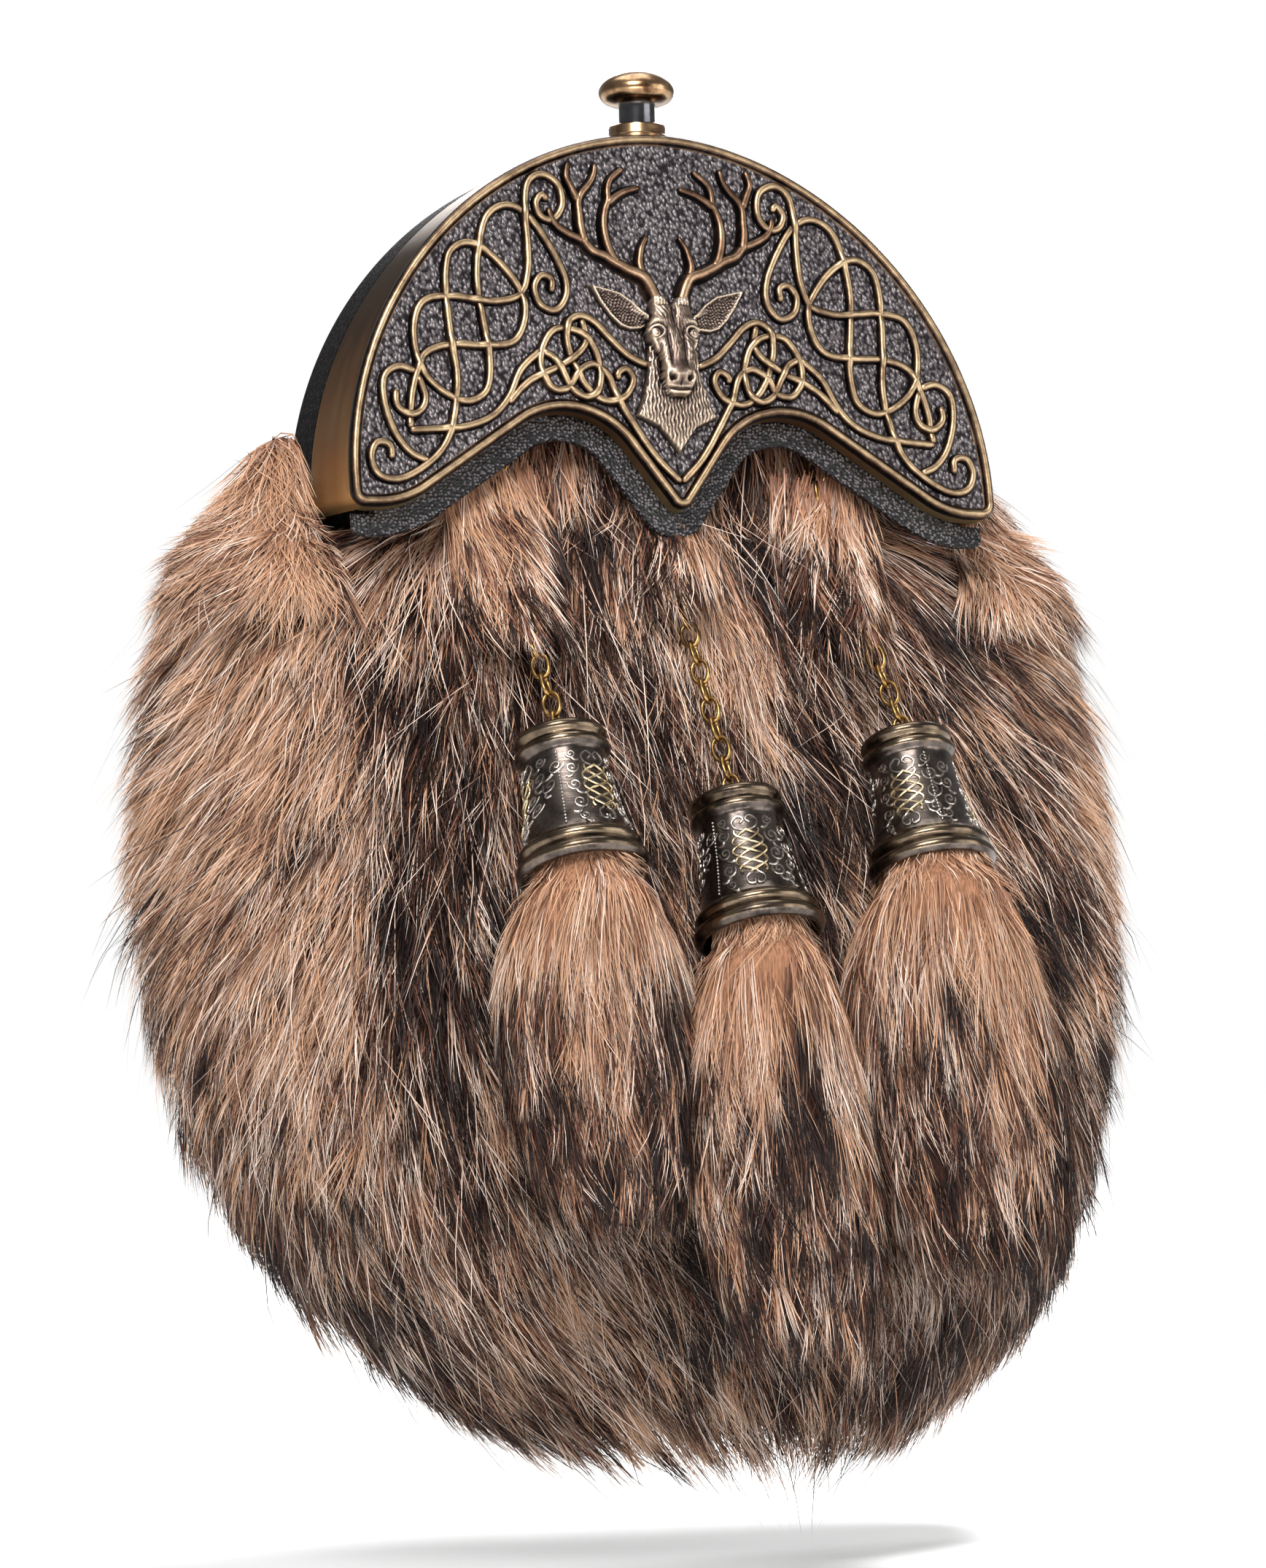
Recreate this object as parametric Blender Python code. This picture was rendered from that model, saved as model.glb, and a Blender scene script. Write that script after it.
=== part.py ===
"""Full dress sporran pouch with a cast cantle, a fur covered bag and tassels in bells on chains.

Lengths are in metres. The pouch hangs upright: +Z is up, +X is the viewer's right and
the cast plate faces -Y. The origin is where a belt passes, midway between the two
leather belt loops at the back.

Pieces are laid out in a working frame whose origin is the tip of the plate's middle
point, and an empty carries them all to the hanging origin.
"""
import math

import bmesh
import bpy
from mathutils import Matrix, Vector

MM = 0.001
GAP = 0.35 * MM

# Hanging origin in the working frame: midway between the belt loops, in the belt's mid plane
HANG_POINT = Vector((0.0, 41.6 * MM, 40.0 * MM))

# Cantle plate: a superellipse arch above a scalloped edge, leaning back
PLATE_HALF_WIDTH = 66.8 * MM
ARCH_FOOT_Z = 5.0 * MM
ARCH_RISE = 70.0 * MM
ARCH_POWER = 1.92
ARCH_STEPS = 22
PLATE_LEAN = math.radians(8.0)
PLATE_THICK = 1.8 * MM
WALL_THICK = 1.5 * MM
LIP_DEPTH = 3.8 * MM
BAND_BACK_Y = 25.0 * MM
BAND_START_X = 65.0 * MM
CORNER_STEP = math.radians(27.0)

# Corners of the scalloped edge, right half: across, up, fillet radius
SCALLOP_CORNERS = (
    (0.0, -1.7, 2.4),
    (19.0, 24.7, 15.5),
    (56.3, -0.8, 18.0),
    (66.8, -0.8, 3.0),
)

# Bead along the plate's edge: inset from the outline, height over the field
BEAD_PROFILE = ((0.4, 0.8), (1.0, 1.1), (1.6, 0.8), (2.05, 0.0))

# Raised cords of the knotwork
CORD_WIDTH = 1.5 * MM
# Height over the field and depth under it at a cord's two ends, so that no two crossings are level
CORD_HEIGHTS = (1.2 * MM, 0.9 * MM)
CORD_ROOTS = (0.42 * MM, 0.66 * MM)
FORM_STEP = 0.035 * MM
DOME_ROOT = 0.5 * MM

# Routes of the cords on the left half, in millimetres: across, up
KNOT_ROUTES = {
    "outer_lattice": (
        (-58.5, 8.0), (-58.8, 11.0), (-61.5, 11.2), (-62.6, 8.0), (-60.8, 4.8), (-56.5, 4.6),
        (-50.8, 8.0), (-47.2, 12.3), (-45.2, 18.5), (-44.4, 25.0), (-45.1, 32.0), (-45.5, 40.0),
        (-45.3, 45.5), (-44.0, 49.5), (-40.5, 51.3), (-36.5, 49.6), (-32.5, 45.6), (-29.9, 41.0),
        (-30.0, 36.2), (-32.5, 32.0), (-37.7, 31.0), (-45.0, 31.0), (-50.3, 29.2), (-52.3, 25.5),
        (-53.8, 20.5), (-54.5, 14.0),
    ),
    "lattice_foot": (
        (-54.9, 13.9), (-49.3, 14.3), (-43.1, 15.0), (-37.8, 17.2), (-34.2, 21.1), (-31.4, 26.5),
        (-27.0, 30.5),
    ),
    "inner_lattice": (
        (-23.5, 60.2), (-24.6, 61.6), (-26.0, 59.6), (-24.8, 57.0), (-22.4, 56.8), (-20.5, 59.8),
        (-21.2, 64.0), (-24.5, 65.7), (-27.4, 63.7), (-28.3, 58.0), (-28.2, 51.5), (-28.6, 46.0),
        (-30.6, 41.3), (-36.5, 39.8), (-44.5, 40.5), (-50.3, 39.2), (-52.5, 34.0), (-52.0, 27.6),
        (-49.5, 23.4), (-45.4, 20.6), (-41.8, 20.0), (-38.5, 22.5), (-37.6, 28.5), (-38.4, 36.0),
        (-39.1, 43.5), (-38.3, 50.4), (-36.3, 56.6), (-32.5, 59.1), (-28.5, 57.9), (-24.8, 53.2),
        (-21.5, 46.6), (-21.0, 41.8), (-23.4, 38.5), (-26.5, 39.6), (-27.5, 42.8), (-26.0, 45.3),
        (-23.9, 44.7), (-24.1, 41.8),
    ),
    "heart_outer": (
        (-52.5, 25.3), (-56.0, 26.3), (-59.0, 24.2), (-59.3, 19.2), (-57.5, 13.3), (-54.5, 9.5),
        (-51.1, 8.0),
    ),
    "heart_inner": (
        (-52.3, 24.8), (-51.1, 20.6), (-52.0, 18.0), (-54.4, 16.9), (-56.9, 18.9), (-56.8, 22.0),
    ),
    "neck_cord": (
        (-5.0, 28.0), (-9.0, 29.9), (-12.5, 33.2), (-15.6, 36.4), (-18.6, 37.6), (-21.1, 36.0),
        (-21.5, 32.0), (-20.2, 27.5), (-18.0, 23.4), (-14.6, 20.9), (-10.7, 21.6), (-8.5, 24.9),
        (-9.6, 27.3), (-11.6, 26.3), (-11.2, 24.9),
    ),
    "small_knot": (
        (-27.0, 30.5), (-24.4, 29.0), (-22.6, 26.0), (-21.0, 23.0), (-18.3, 21.5), (-15.8, 23.0),
        (-15.1, 27.5), (-16.6, 32.3), (-19.8, 34.7), (-24.0, 34.6), (-26.7, 31.0), (-27.2, 26.6),
        (-25.0, 23.0), (-21.9, 23.2), (-19.6, 26.5), (-16.5, 28.1), (-13.7, 26.2), (-12.0, 21.6),
        (-8.8, 16.0), (-4.8, 9.9), (0.0, 4.9),
    ),
    "knot_tie": (
        (-34.5, 19.6), (-31.6, 22.8), (-29.0, 24.8), (-24.5, 26.9), (-20.0, 29.6), (-17.6, 32.7),
        (-18.3, 37.0),
    ),
}

# Antlers of the stag, right half in millimetres: points of across, up; widths at root and tip
ANTLER_TINES = {
    "beam": (((2.6, 41.6), (4.6, 45.2), (8.0, 47.4), (12.0, 49.2), (16.6, 52.8), (20.4, 54.6),
              (23.6, 59.4)), 2.6, 1.0),
    "brow_tine": (((5.4, 46.6), (5.2, 50.5), (3.2, 54.5)), 1.8, 0.7),
    "bay_tine": (((10.6, 48.6), (11.0, 54.5), (11.3, 59.5), (10.3, 63.5), (7.2, 68.0)), 2.0, 0.7),
    "bay_fork": (((10.9, 61.8), (7.6, 63.3), (3.8, 64.5)), 1.5, 0.7),
    "tray_tine": (((16.6, 52.6), (17.4, 58.0), (17.3, 62.0), (15.0, 65.6), (12.8, 68.6)), 1.9, 0.7),
    "tray_fork": (((17.5, 61.6), (19.2, 65.3), (18.2, 68.6)), 1.4, 0.7),
}

# Stag's head and neck: up, half width, height over the field
STAG_HEAD = (
    (43.3, 2.2, 0.9), (41.2, 4.2, 2.0), (38.4, 4.8, 2.9), (35.3, 5.2, 3.4), (32.2, 3.9, 3.7),
    (29.2, 3.0, 4.1), (27.2, 3.4, 4.7), (24.9, 3.3, 4.6), (23.2, 2.7, 3.8), (21.6, 1.5, 2.4),
)
STAG_NECK = (
    (35.0, 4.9, 1.5), (29.0, 5.4, 2.0), (23.5, 6.6, 2.2), (18.9, 8.0, 1.5), (17.3, 6.9, 1.7),
    (14.0, 3.5, 1.4), (11.2, 0.4, 0.5),
)
STAG_EAR = (
    (4.4, 38.6, 1.2, 1.2), (8.0, 39.7, 2.8, 1.6), (12.2, 41.9, 2.6, 1.4), (16.3, 44.0, 0.3, 0.5),
)

# Plunger knob on top: centre, and turned profiles of radius and height
KNOB_Y = 18.7 * MM
KNOB_SIDES = 18
KNOB_PROFILE = (
    (0.0, 88.4), (3.6, 87.9), (6.0, 86.8), (7.5, 85.1), (7.5, 83.7), (6.3, 82.2), (4.6, 81.7),
    (0.0, 81.7),
)
STEM_RADIUS = 3.6 * MM
STEM_TOP_Z = 81.4 * MM
STEM_END_Z = 69.5 * MM
STEM_SIDES = 16
GUIDE_RADIUS = 4.05 * MM
COLLAR_PROFILE = ((5.0, 77.6), (5.7, 76.9), (5.7, 75.6), (5.95, 75.4), (5.95, 74.65))

# Apron: leather strip behind the plate's lip
APRON_DROP = 4.8 * MM
APRON_RISE = 6.0 * MM
APRON_SPAN = (4.0 * MM, 56.0 * MM)
APRON_THICK = 1.6 * MM
APRON_HALF_WIDTH = 65.6 * MM
APRON_TUCK = 61.4 * MM
APRON_SHOULDER_Z = -1.25 * MM

# Back panel and its arched gusset
PANEL_FRONT_Y = 36.5 * MM
PANEL_BACK_Y = 38.5 * MM
GUSSET_THICK = 2.0 * MM
PANEL_MARGIN = 0.6 * MM
PANEL_SHOULDER_Z = -8.0 * MM
# Panel's edge from the arch's foot to the bag's shoulder: across, up
PANEL_FOOT = ((67.2, 5.0), (67.6, 2.6))

# Bag rows: height, centre across, half width of the leather, its front, fur at side and front
BAG_ROWS = (
    (17.5, 0.0, 58.0, 18.0, 1.5, 2.6),
    (-1.6, 0.0, 61.0, 14.6, 2.0, 2.4),
    (-5.0, 0.0, 66.0, 13.4, 10.5, 1.8),
    (-12.0, 0.0, 74.0, 10.5, 15.0, 1.8),
    (-24.0, 0.0, 82.0, 6.5, 16.0, 4.5),
    (-42.0, 0.0, 86.5, 2.0, 16.0, 7.5),
    (-62.0, 0.5, 88.0, -2.0, 16.0, 8.5),
    (-84.0, 1.0, 87.5, -5.5, 15.5, 9.0),
    (-106.0, 1.5, 84.0, -7.0, 15.0, 9.5),
    (-128.0, 3.5, 76.0, -5.0, 15.5, 9.5),
    (-147.0, 6.0, 61.0, 1.5, 17.0, 10.0),
    (-160.0, 11.0, 43.0, 11.5, 22.0, 12.0),
)
BAG_BACK_Y = 36.1 * MM
BAG_FULLNESS = 2.35
COAT_COLUMNS = 30
BAG_COLUMNS = 14
BAG_WIDEST_Z = -70.0 * MM
BAG_WALL = 1.8 * MM
BAG_FLOOR_Z = -172.0 * MM
BAG_FLOOR_THICK = 2.4 * MM
CUT_PAST = 5.0 * MM
# Fur that hangs below the bag: height, centre across, half width, front; and its lowest point
COAT_TAIL = ((-173.0, 15.0, 56.0, 12.0), (-182.0, 21.0, 43.0, 19.0))
COAT_TIP = (24.0, -187.0)
COAT_GAP = 0.6 * MM
LOCK_SIDE = 3.2 * MM
LOCK_FRONT = 0.8 * MM
LOCK_DROP = 6.0 * MM
LOCK_CREST = 1.0
LOCK_GROOVE = -0.6
FIRST_LOCK_ROW = 4
# Fur that rises beside the cantle's band: height, inner edge, outer edge, front
SHOULDER_ROWS = (
    (13.5, 69.3, 72.0, 29.5),
    (8.0, 69.3, 79.5, 27.5),
    (0.0, 69.3, 88.0, 25.6),
    (-9.0, 69.0, 94.0, 22.0),
    (-20.0, 64.0, 92.0, 22.0),
)
SHOULDER_BACK_Y = 35.8 * MM

# Belt loops: a strap bowed off the panel
LOOP_X = 20.0 * MM
LOOP_WIDTH = 14.0 * MM
LOOP_THICK = 2.2 * MM
LOOP_STAND = 5.6 * MM
LOOP_HALF_SLOT = 14.0 * MM
LOOP_TAB = 4.5 * MM
LOOP_Z = 40.0 * MM

# Chain links, oval and bent from round wire
LINK_PITCH = 5.15 * MM
LINK_WIDTH = 4.2 * MM
LINK_WIRE = 0.85 * MM
LINK_SIDES = 10
WIRE_SIDES = 5
LINK_TURN = math.radians(45.0)
# How far each link's wire sinks into the next one's, which makes the chain one body
LINK_FUSE = 0.32 * MM

# Tassels: side name, bell top, tilt forward, tassel length under the bell, drift of the tip
BELL_TILT = math.radians(23.0)
TASSELS = (
    {"side": "left", "top": (-34.0, -19.5, -45.0), "drop": 62.0, "drift": 6.0, "spread": 16.0},
    {"side": "middle", "top": (-0.5, -22.5, -57.0), "drop": 78.0, "drift": 9.0, "spread": 15.5},
    {"side": "right", "top": (36.5, -19.5, -45.5), "drop": 76.0, "drift": 12.0, "spread": 18.0},
)
BELL_SIDES = 12
# Bell, outside then inside: distance from the top, radius
BELL_PROFILE = (
    (0.0, 2.6), (0.0, 7.8), (1.3, 8.8), (2.6, 8.0), (4.1, 9.0), (5.6, 8.0), (14.0, 8.7),
    (22.6, 10.4), (24.0, 11.6), (25.3, 11.0), (27.0, 12.4), (28.6, 11.5), (28.6, 10.8),
    (20.0, 8.9), (6.0, 6.9), (1.8, 6.4), (1.8, 2.6),
)
TASSEL_SIDES = 16
# Tassel head inside the bell and its flare: distance from the bell's top, radius
TASSEL_HEAD = ((7.0, 4.0), (8.0, 6.1), (20.0, 8.1), (28.6, 10.0))

# Routes of the chains, from behind the apron to just above the bell: across, back, up
CHAIN_ROUTES = {
    "left": ((-33.5, 11.0, 9.2), (-33.5, 8.8, 0.0), (-33.7, 3.8, -10.0), (-33.9, -4.2, -22.0),
             (-34.0, -12.0, -33.5)),
    "middle": ((0.0, 9.6, -0.8), (0.0, 8.2, -5.6), (-0.1, 5.4, -11.6), (-0.2, 0.4, -20.0),
               (-0.4, -7.6, -32.0), (-0.5, -15.6, -45.0)),
    "right": ((33.5, 11.0, 9.2), (33.5, 8.8, 0.0), (34.3, 3.8, -10.0), (35.4, -4.2, -22.0),
              (36.2, -12.0, -34.0)),
}
STUD_RADIUS = 2.4 * MM
STUD_THICK = 0.9 * MM
STUD_SIDES = 8
POST_RADIUS = 0.9 * MM
POST_LENGTH = 5.0 * MM
# Disc under the bell's top, on the chain's last link: distances down the bell's axis, radius
KEEPER_DOWN = (2.3, 3.2)
KEEPER_RADIUS = 3.6
KEEPER_SIDES = 6


def clear_scene():
    """Remove every object of the open file."""
    for old in list(bpy.data.objects):
        bpy.data.objects.remove(old, do_unlink=True)


def finish(name, colour, metallic, roughness):
    """One Principled material."""
    material = bpy.data.materials.new(name)
    material.use_nodes = True
    shader = material.node_tree.nodes["Principled BSDF"]
    shader.inputs["Base Color"].default_value = (*colour, 1.0)
    shader.inputs["Metallic"].default_value = metallic
    shader.inputs["Roughness"].default_value = roughness
    material.diffuse_color = (*colour, 1.0)
    return material


def make_finishes():
    """The finishes, by the name of what they cover."""
    return {
        "cast": finish("antique_brass_casting", (0.22, 0.17, 0.11), 1.0, 0.38),
        "brass": finish("antique_brass_turned", (0.46, 0.31, 0.14), 1.0, 0.3),
        "steel": finish("dark_steel", (0.09, 0.09, 0.1), 1.0, 0.25),
        "bell": finish("gunmetal_brass", (0.12, 0.1, 0.08), 1.0, 0.25),
        "chain": finish("brass_wire", (0.6, 0.38, 0.12), 1.0, 0.3),
        "leather": finish("black_grained_leather", (0.02, 0.02, 0.024), 0.0, 0.5),
        "fur": finish("fur", (0.3, 0.18, 0.11), 0.0, 0.85),
        "tassel": finish("tassel_fur", (0.22, 0.13, 0.08), 0.0, 0.85),
    }


def add_object(name, mesh, material, parent):
    """An object for a mesh, shaded smooth up to sharp edges."""
    part = bpy.data.objects.new(name, mesh)
    bpy.context.scene.collection.objects.link(part)
    mesh.materials.append(material)
    mesh.shade_smooth()
    mesh.set_sharp_from_angle(angle=math.radians(35.0))
    part.parent = parent
    return part


def mesh_from(name, build):
    """A mesh whose normals face out, filled by build(bm)."""
    bm = bmesh.new()
    build(bm)
    bmesh.ops.remove_doubles(bm, verts=bm.verts, dist=0.002 * MM)
    bmesh.ops.recalc_face_normals(bm, faces=bm.faces)
    mesh = bpy.data.meshes.new(name)
    bm.to_mesh(mesh)
    bm.free()
    return mesh


def hide_cutter(cutter):
    """Keep a cutting body out of the finished model."""
    cutter.hide_render = True
    cutter.display_type = "WIRE"


def cut(part, cutter, operation, crossing=False):
    """Add a Boolean to a part, and hide the body that it works with.

    Args:
        part: the object that is changed.
        cutter: the body that it is cut by or joined with.
        operation: UNION or DIFFERENCE.
        crossing: whether the cutter is made of forms that cross each other.
    """
    change = part.modifiers.new(operation.lower(), "BOOLEAN")
    change.operation = operation
    change.solver = "EXACT"
    change.object = cutter
    change.use_self = crossing
    hide_cutter(cutter)


def skin(bm, loops, first_cap=True, last_cap=True, closed=True):
    """Join loops of equal count with quads, and cap the ends.

    Args:
        bm: mesh under construction.
        loops: lists of points, all of one length.
        first_cap: whether the first loop gets a face.
        last_cap: whether the last loop gets a face.
        closed: whether each loop runs back to its start.
    """
    rows = [[bm.verts.new(point) for point in loop] for loop in loops]
    count = len(rows[0])
    for near, far in zip(rows, rows[1:]):
        for i in range(count if closed else count - 1):
            j = (i + 1) % count
            bm.faces.new((near[i], near[j], far[j], far[i]))
    if first_cap:
        bm.faces.new(rows[0])
    if last_cap:
        bm.faces.new(rows[-1])
    return rows


def rounded_path(corners):
    """Points of a polyline whose inner corners are filleted.

    Args:
        corners: (x, z, radius) of each corner in metres, with 0 for a sharp one.
    """
    points = [Vector(corners[0][:2])]
    for before, here, after in zip(corners, corners[1:], corners[2:]):
        corner = Vector(here[:2])
        into = (corner - Vector(before[:2])).normalized()
        out = (Vector(after[:2]) - corner).normalized()
        turn = math.atan2(into.x * out.y - into.y * out.x, into.dot(out))
        reach = here[2] * math.tan(abs(turn) / 2)
        side = Vector((-into.y, into.x)) * math.copysign(1.0, turn)
        start = corner - into * reach
        centre = start + side * here[2]
        steps = max(2, math.ceil(abs(turn) / CORNER_STEP))
        for k in range(steps + 1):
            spin = Matrix.Rotation(turn * k / steps, 2)
            points.append(centre + spin @ (start - centre))
    points.append(Vector(corners[-1][:2]))
    return points


def scallop_path():
    """The scalloped edge from the left side to the right side of the plate."""
    half = [(x * MM, z * MM, r * MM) for x, z, r in SCALLOP_CORNERS]
    half.append((PLATE_HALF_WIDTH, ARCH_FOOT_Z, 0.0))
    mirrored = [(-x, z, r) for x, z, r in reversed(half[1:])]
    return rounded_path(mirrored + half)


def arch_path():
    """The arch from the right foot over the top to the left foot, feet left out."""
    points = []
    for k in range(1, ARCH_STEPS):
        angle = math.pi * k / ARCH_STEPS
        across = math.copysign(abs(math.cos(angle)) ** (2 / ARCH_POWER), math.cos(angle))
        up = math.sin(angle) ** (2 / ARCH_POWER)
        points.append(Vector((PLATE_HALF_WIDTH * across, ARCH_FOOT_Z + ARCH_RISE * up)))
    return points


def inset(points, distance):
    """A closed outline moved inwards, or outwards where distance is negative.

    The outline runs anticlockwise in x and z.
    """
    moved = []
    count = len(points)
    for i, here in enumerate(points):
        into = (here - points[i - 1]).normalized()
        out = (points[(i + 1) % count] - here).normalized()
        normal = Vector((-(into.y + out.y), into.x + out.x)).normalized()
        stretch = max(0.5, normal.dot(Vector((-into.y, into.x))))
        moved.append(here + normal * (distance / stretch))
    return moved


def on_plate(x, z, height):
    """The place over the leaning plate, height being out towards the viewer."""
    lean, rise = math.sin(PLATE_LEAN), math.cos(PLATE_LEAN)
    return Vector((x, z * lean - height * rise, z * rise + height * lean))


def smooth_route(points, step):
    """Evenly spaced points of a Catmull-Rom curve through the given ones.

    Args:
        points: vectors of any size.
        step: wanted spacing in metres.
    """
    ends = [points[0] * 2 - points[1], *points, points[-1] * 2 - points[-2]]
    fine = []
    for a, b, c, d in zip(ends, ends[1:], ends[2:], ends[3:]):
        for k in range(8):
            t = k / 8
            fine.append(0.5 * (2 * b + (c - a) * t + (2 * a - 5 * b + 4 * c - d) * t * t
                               + (3 * b - a - 3 * c + d) * t ** 3))
    fine.append(points[-1])
    total = sum((q - p).length for p, q in zip(fine, fine[1:]))
    count = max(2, round(total / step))
    spaced, run, target = [fine[0]], 0.0, total / count
    for p, q in zip(fine, fine[1:]):
        length = (q - p).length
        while run + length >= target and len(spaced) < count:
            spaced.append(p.lerp(q, (target - run) / length))
            target += total / count
        run += length
    return spaced + [fine[-1]]


def blend(ends, share):
    """The value that lies a share of the way from the first end to the second."""
    return ends[0] + (ends[1] - ends[0]) * share


def add_ridge(bm, route, widths, heights, roots):
    """A roof shaped ridge on the plate along a route, tapering evenly.

    Args:
        bm: mesh under construction.
        route: points of across and up.
        widths: width at the field, at the route's start and end.
        heights: height over the field, at the start and end.
        roots: depth under the field, at the start and end.
    """
    loops = []
    count = len(route)
    for i, here in enumerate(route):
        ahead = (route[min(i + 1, count - 1)] - route[max(i - 1, 0)]).normalized()
        share = i / (count - 1)
        half = Vector((-ahead.y, ahead.x)) * (blend(widths, share) / 2)
        root = -blend(roots, share)
        left, right = here + half, here - half
        loops.append([on_plate(left.x, left.y, root),
                      on_plate(here.x, here.y, blend(heights, share)),
                      on_plate(right.x, right.y, root)])
    skin(bm, loops)


def add_dome(bm, rows, root):
    """A domed form on the plate, lofted through rows of half-elliptic sections.

    Args:
        bm: mesh under construction.
        rows: (x, z, direction across as a 2D vector, half width, height) of each section.
        root: depth under the field.
    """
    loops = []
    for x, z, across, half, height in rows:
        loop = []
        for k in range(6):
            angle = math.pi * k / 5
            offset = across * (half * math.cos(angle))
            rise = height * math.sin(angle) if 0 < k < 5 else -root
            loop.append(on_plate(x + offset.x, z + offset.y, rise))
        loops.append(loop)
    skin(bm, loops)


def add_relief(bm):
    """Knotwork, antlers and the stag's head, as closed forms sunk into the plate."""
    for mirror in (1.0, -1.0):
        more = 0.0 if mirror > 0.0 else FORM_STEP / 2
        for route in KNOT_ROUTES.values():
            more += FORM_STEP
            points = [Vector((x * MM * mirror, z * MM)) for x, z in route]
            add_ridge(bm, points, (CORD_WIDTH, CORD_WIDTH),
                      [height + more for height in CORD_HEIGHTS],
                      [root + more for root in CORD_ROOTS])
        for route, root, tip in ANTLER_TINES.values():
            more += FORM_STEP
            points = [Vector((x * MM * mirror, z * MM)) for x, z in route]
            add_ridge(bm, points, (root * MM, tip * MM), (1.8 * MM, 0.9 * MM),
                      [depth + more for depth in CORD_ROOTS])
        lie = Vector((-0.42, 0.91 * mirror)) * mirror
        add_dome(bm, [(x * MM * mirror, z * MM, lie, half * MM, high * MM)
                      for x, z, half, high in STAG_EAR], DOME_ROOT + more)
    level = Vector((1.0, 0.0))
    for root, table in ((0.4, STAG_NECK), (0.3, STAG_HEAD)):
        add_dome(bm, [(0.0, z * MM, level, half * MM, high * MM) for z, half, high in table],
                 root * MM)


def make_cantle(finishes, parent):
    """Cast cantle: plate, edge bead, turned-back lip, side band and raised relief."""
    scallop = scallop_path()
    outline = scallop + arch_path()
    deep = [i == 0 or i >= len(scallop) - 1 or abs(point.x) > BAND_START_X
            for i, point in enumerate(outline)]

    def rear(points):
        loop = []
        for point, is_band in zip(points, deep):
            place = on_plate(point.x, point.y, -LIP_DEPTH)
            if is_band:
                place = Vector((point.x, BAND_BACK_Y, point.y * math.cos(PLATE_LEAN)))
            loop.append(place)
        return loop

    def build(bm):
        inner = inset(outline, WALL_THICK)
        loops = [[on_plate(p.x, p.y, -PLATE_THICK) for p in inner], rear(inner), rear(outline),
                 [on_plate(p.x, p.y, 0.0) for p in outline]]
        for distance, height in BEAD_PROFILE:
            loops.append([on_plate(p.x, p.y, height * MM)
                          for p in inset(outline, distance * MM)])
        skin(bm, loops)

    cantle = add_object("cantle", mesh_from("cantle", build), finishes["cast"], parent)
    bore = make_turned("stem_bore", ((0.0, 90.0), (GUIDE_RADIUS / MM, 90.0),
                                     (GUIDE_RADIUS / MM, 65.0), (0.0, 65.0)),
                       STEM_SIDES, finishes["cast"], parent)
    cut(cantle, bore, "DIFFERENCE")
    relief = add_object("relief_form", mesh_from("relief_form", add_relief),
                        finishes["cast"], parent)
    cut(cantle, relief, "UNION", crossing=True)


def make_turned(name, profile, sides, material, parent):
    """A piece turned about the knob's axis.

    Args:
        name: object name.
        profile: radius and height in millimetres, closed, or open with both ends on the axis.
        sides: facets around.
        material: its finish.
        parent: the carrying empty.
    """
    def build(bm):
        loops = []
        for radius, up in profile:
            if radius > 0.0:
                loops.append([Vector((radius * MM * math.cos(math.tau * k / sides),
                                      KNOB_Y + radius * MM * math.sin(math.tau * k / sides),
                                      up * MM)) for k in range(sides)])
        ringed = profile[0][0] > 0.0
        if ringed:
            loops.append(loops[0])
        skin(bm, loops, first_cap=not ringed, last_cap=not ringed)

    return add_object(name, mesh_from(name, build), material, parent)


def make_knob(finishes, parent):
    """Plunger: the mushroom knob, its steel stem and the collar that guides it."""
    make_turned("knob", KNOB_PROFILE, KNOB_SIDES, finishes["brass"], parent)
    stem = ((0.0, STEM_TOP_Z / MM), (STEM_RADIUS / MM, STEM_TOP_Z / MM),
            (STEM_RADIUS / MM, STEM_END_Z / MM), (0.0, STEM_END_Z / MM))
    make_turned("knob_stem", stem, STEM_SIDES, finishes["steel"], parent)
    bore = GUIDE_RADIUS / MM
    base = COLLAR_PROFILE[-1][1]
    top = COLLAR_PROFILE[0][1]
    ring = (*COLLAR_PROFILE, (bore, base), (bore, top))
    make_turned("knob_collar", ring, KNOB_SIDES, finishes["brass"], parent)


def make_apron(finishes, parent):
    """Leather strip that shows under the plate's scalloped edge."""
    scallop = scallop_path()
    outline = scallop + arch_path()
    low = [p for p in inset(outline, -APRON_DROP)[:len(scallop)]
           if abs(p.x) < APRON_HALF_WIDTH - 2.0 * MM]
    high = [p for p in inset(outline, APRON_RISE)[:len(scallop)]
            if APRON_SPAN[0] < abs(p.x) < APRON_SPAN[1]]
    end_z = low[0].y
    right = [Vector((APRON_HALF_WIDTH - 0.8 * MM, end_z)),
             Vector((APRON_HALF_WIDTH, end_z + 1.4 * MM)),
             Vector((APRON_HALF_WIDTH, APRON_SHOULDER_Z)), Vector((APRON_TUCK, APRON_SHOULDER_Z)),
             Vector((60.0 * MM, 3.0 * MM))]
    left = [Vector((-p.x, p.y)) for p in reversed(right)]
    ring = low + right + list(reversed(high)) + left
    near = LIP_DEPTH + GAP

    def build(bm):
        skin(bm, [[on_plate(p.x, p.y, -near) for p in ring],
                  [on_plate(p.x, p.y, -near - APRON_THICK) for p in ring]])

    add_object("apron", mesh_from("apron", build), finishes["leather"], parent)


def bag_rows():
    """Rows of the bag's table in metres."""
    return [[value * MM for value in row] for row in BAG_ROWS]


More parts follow.
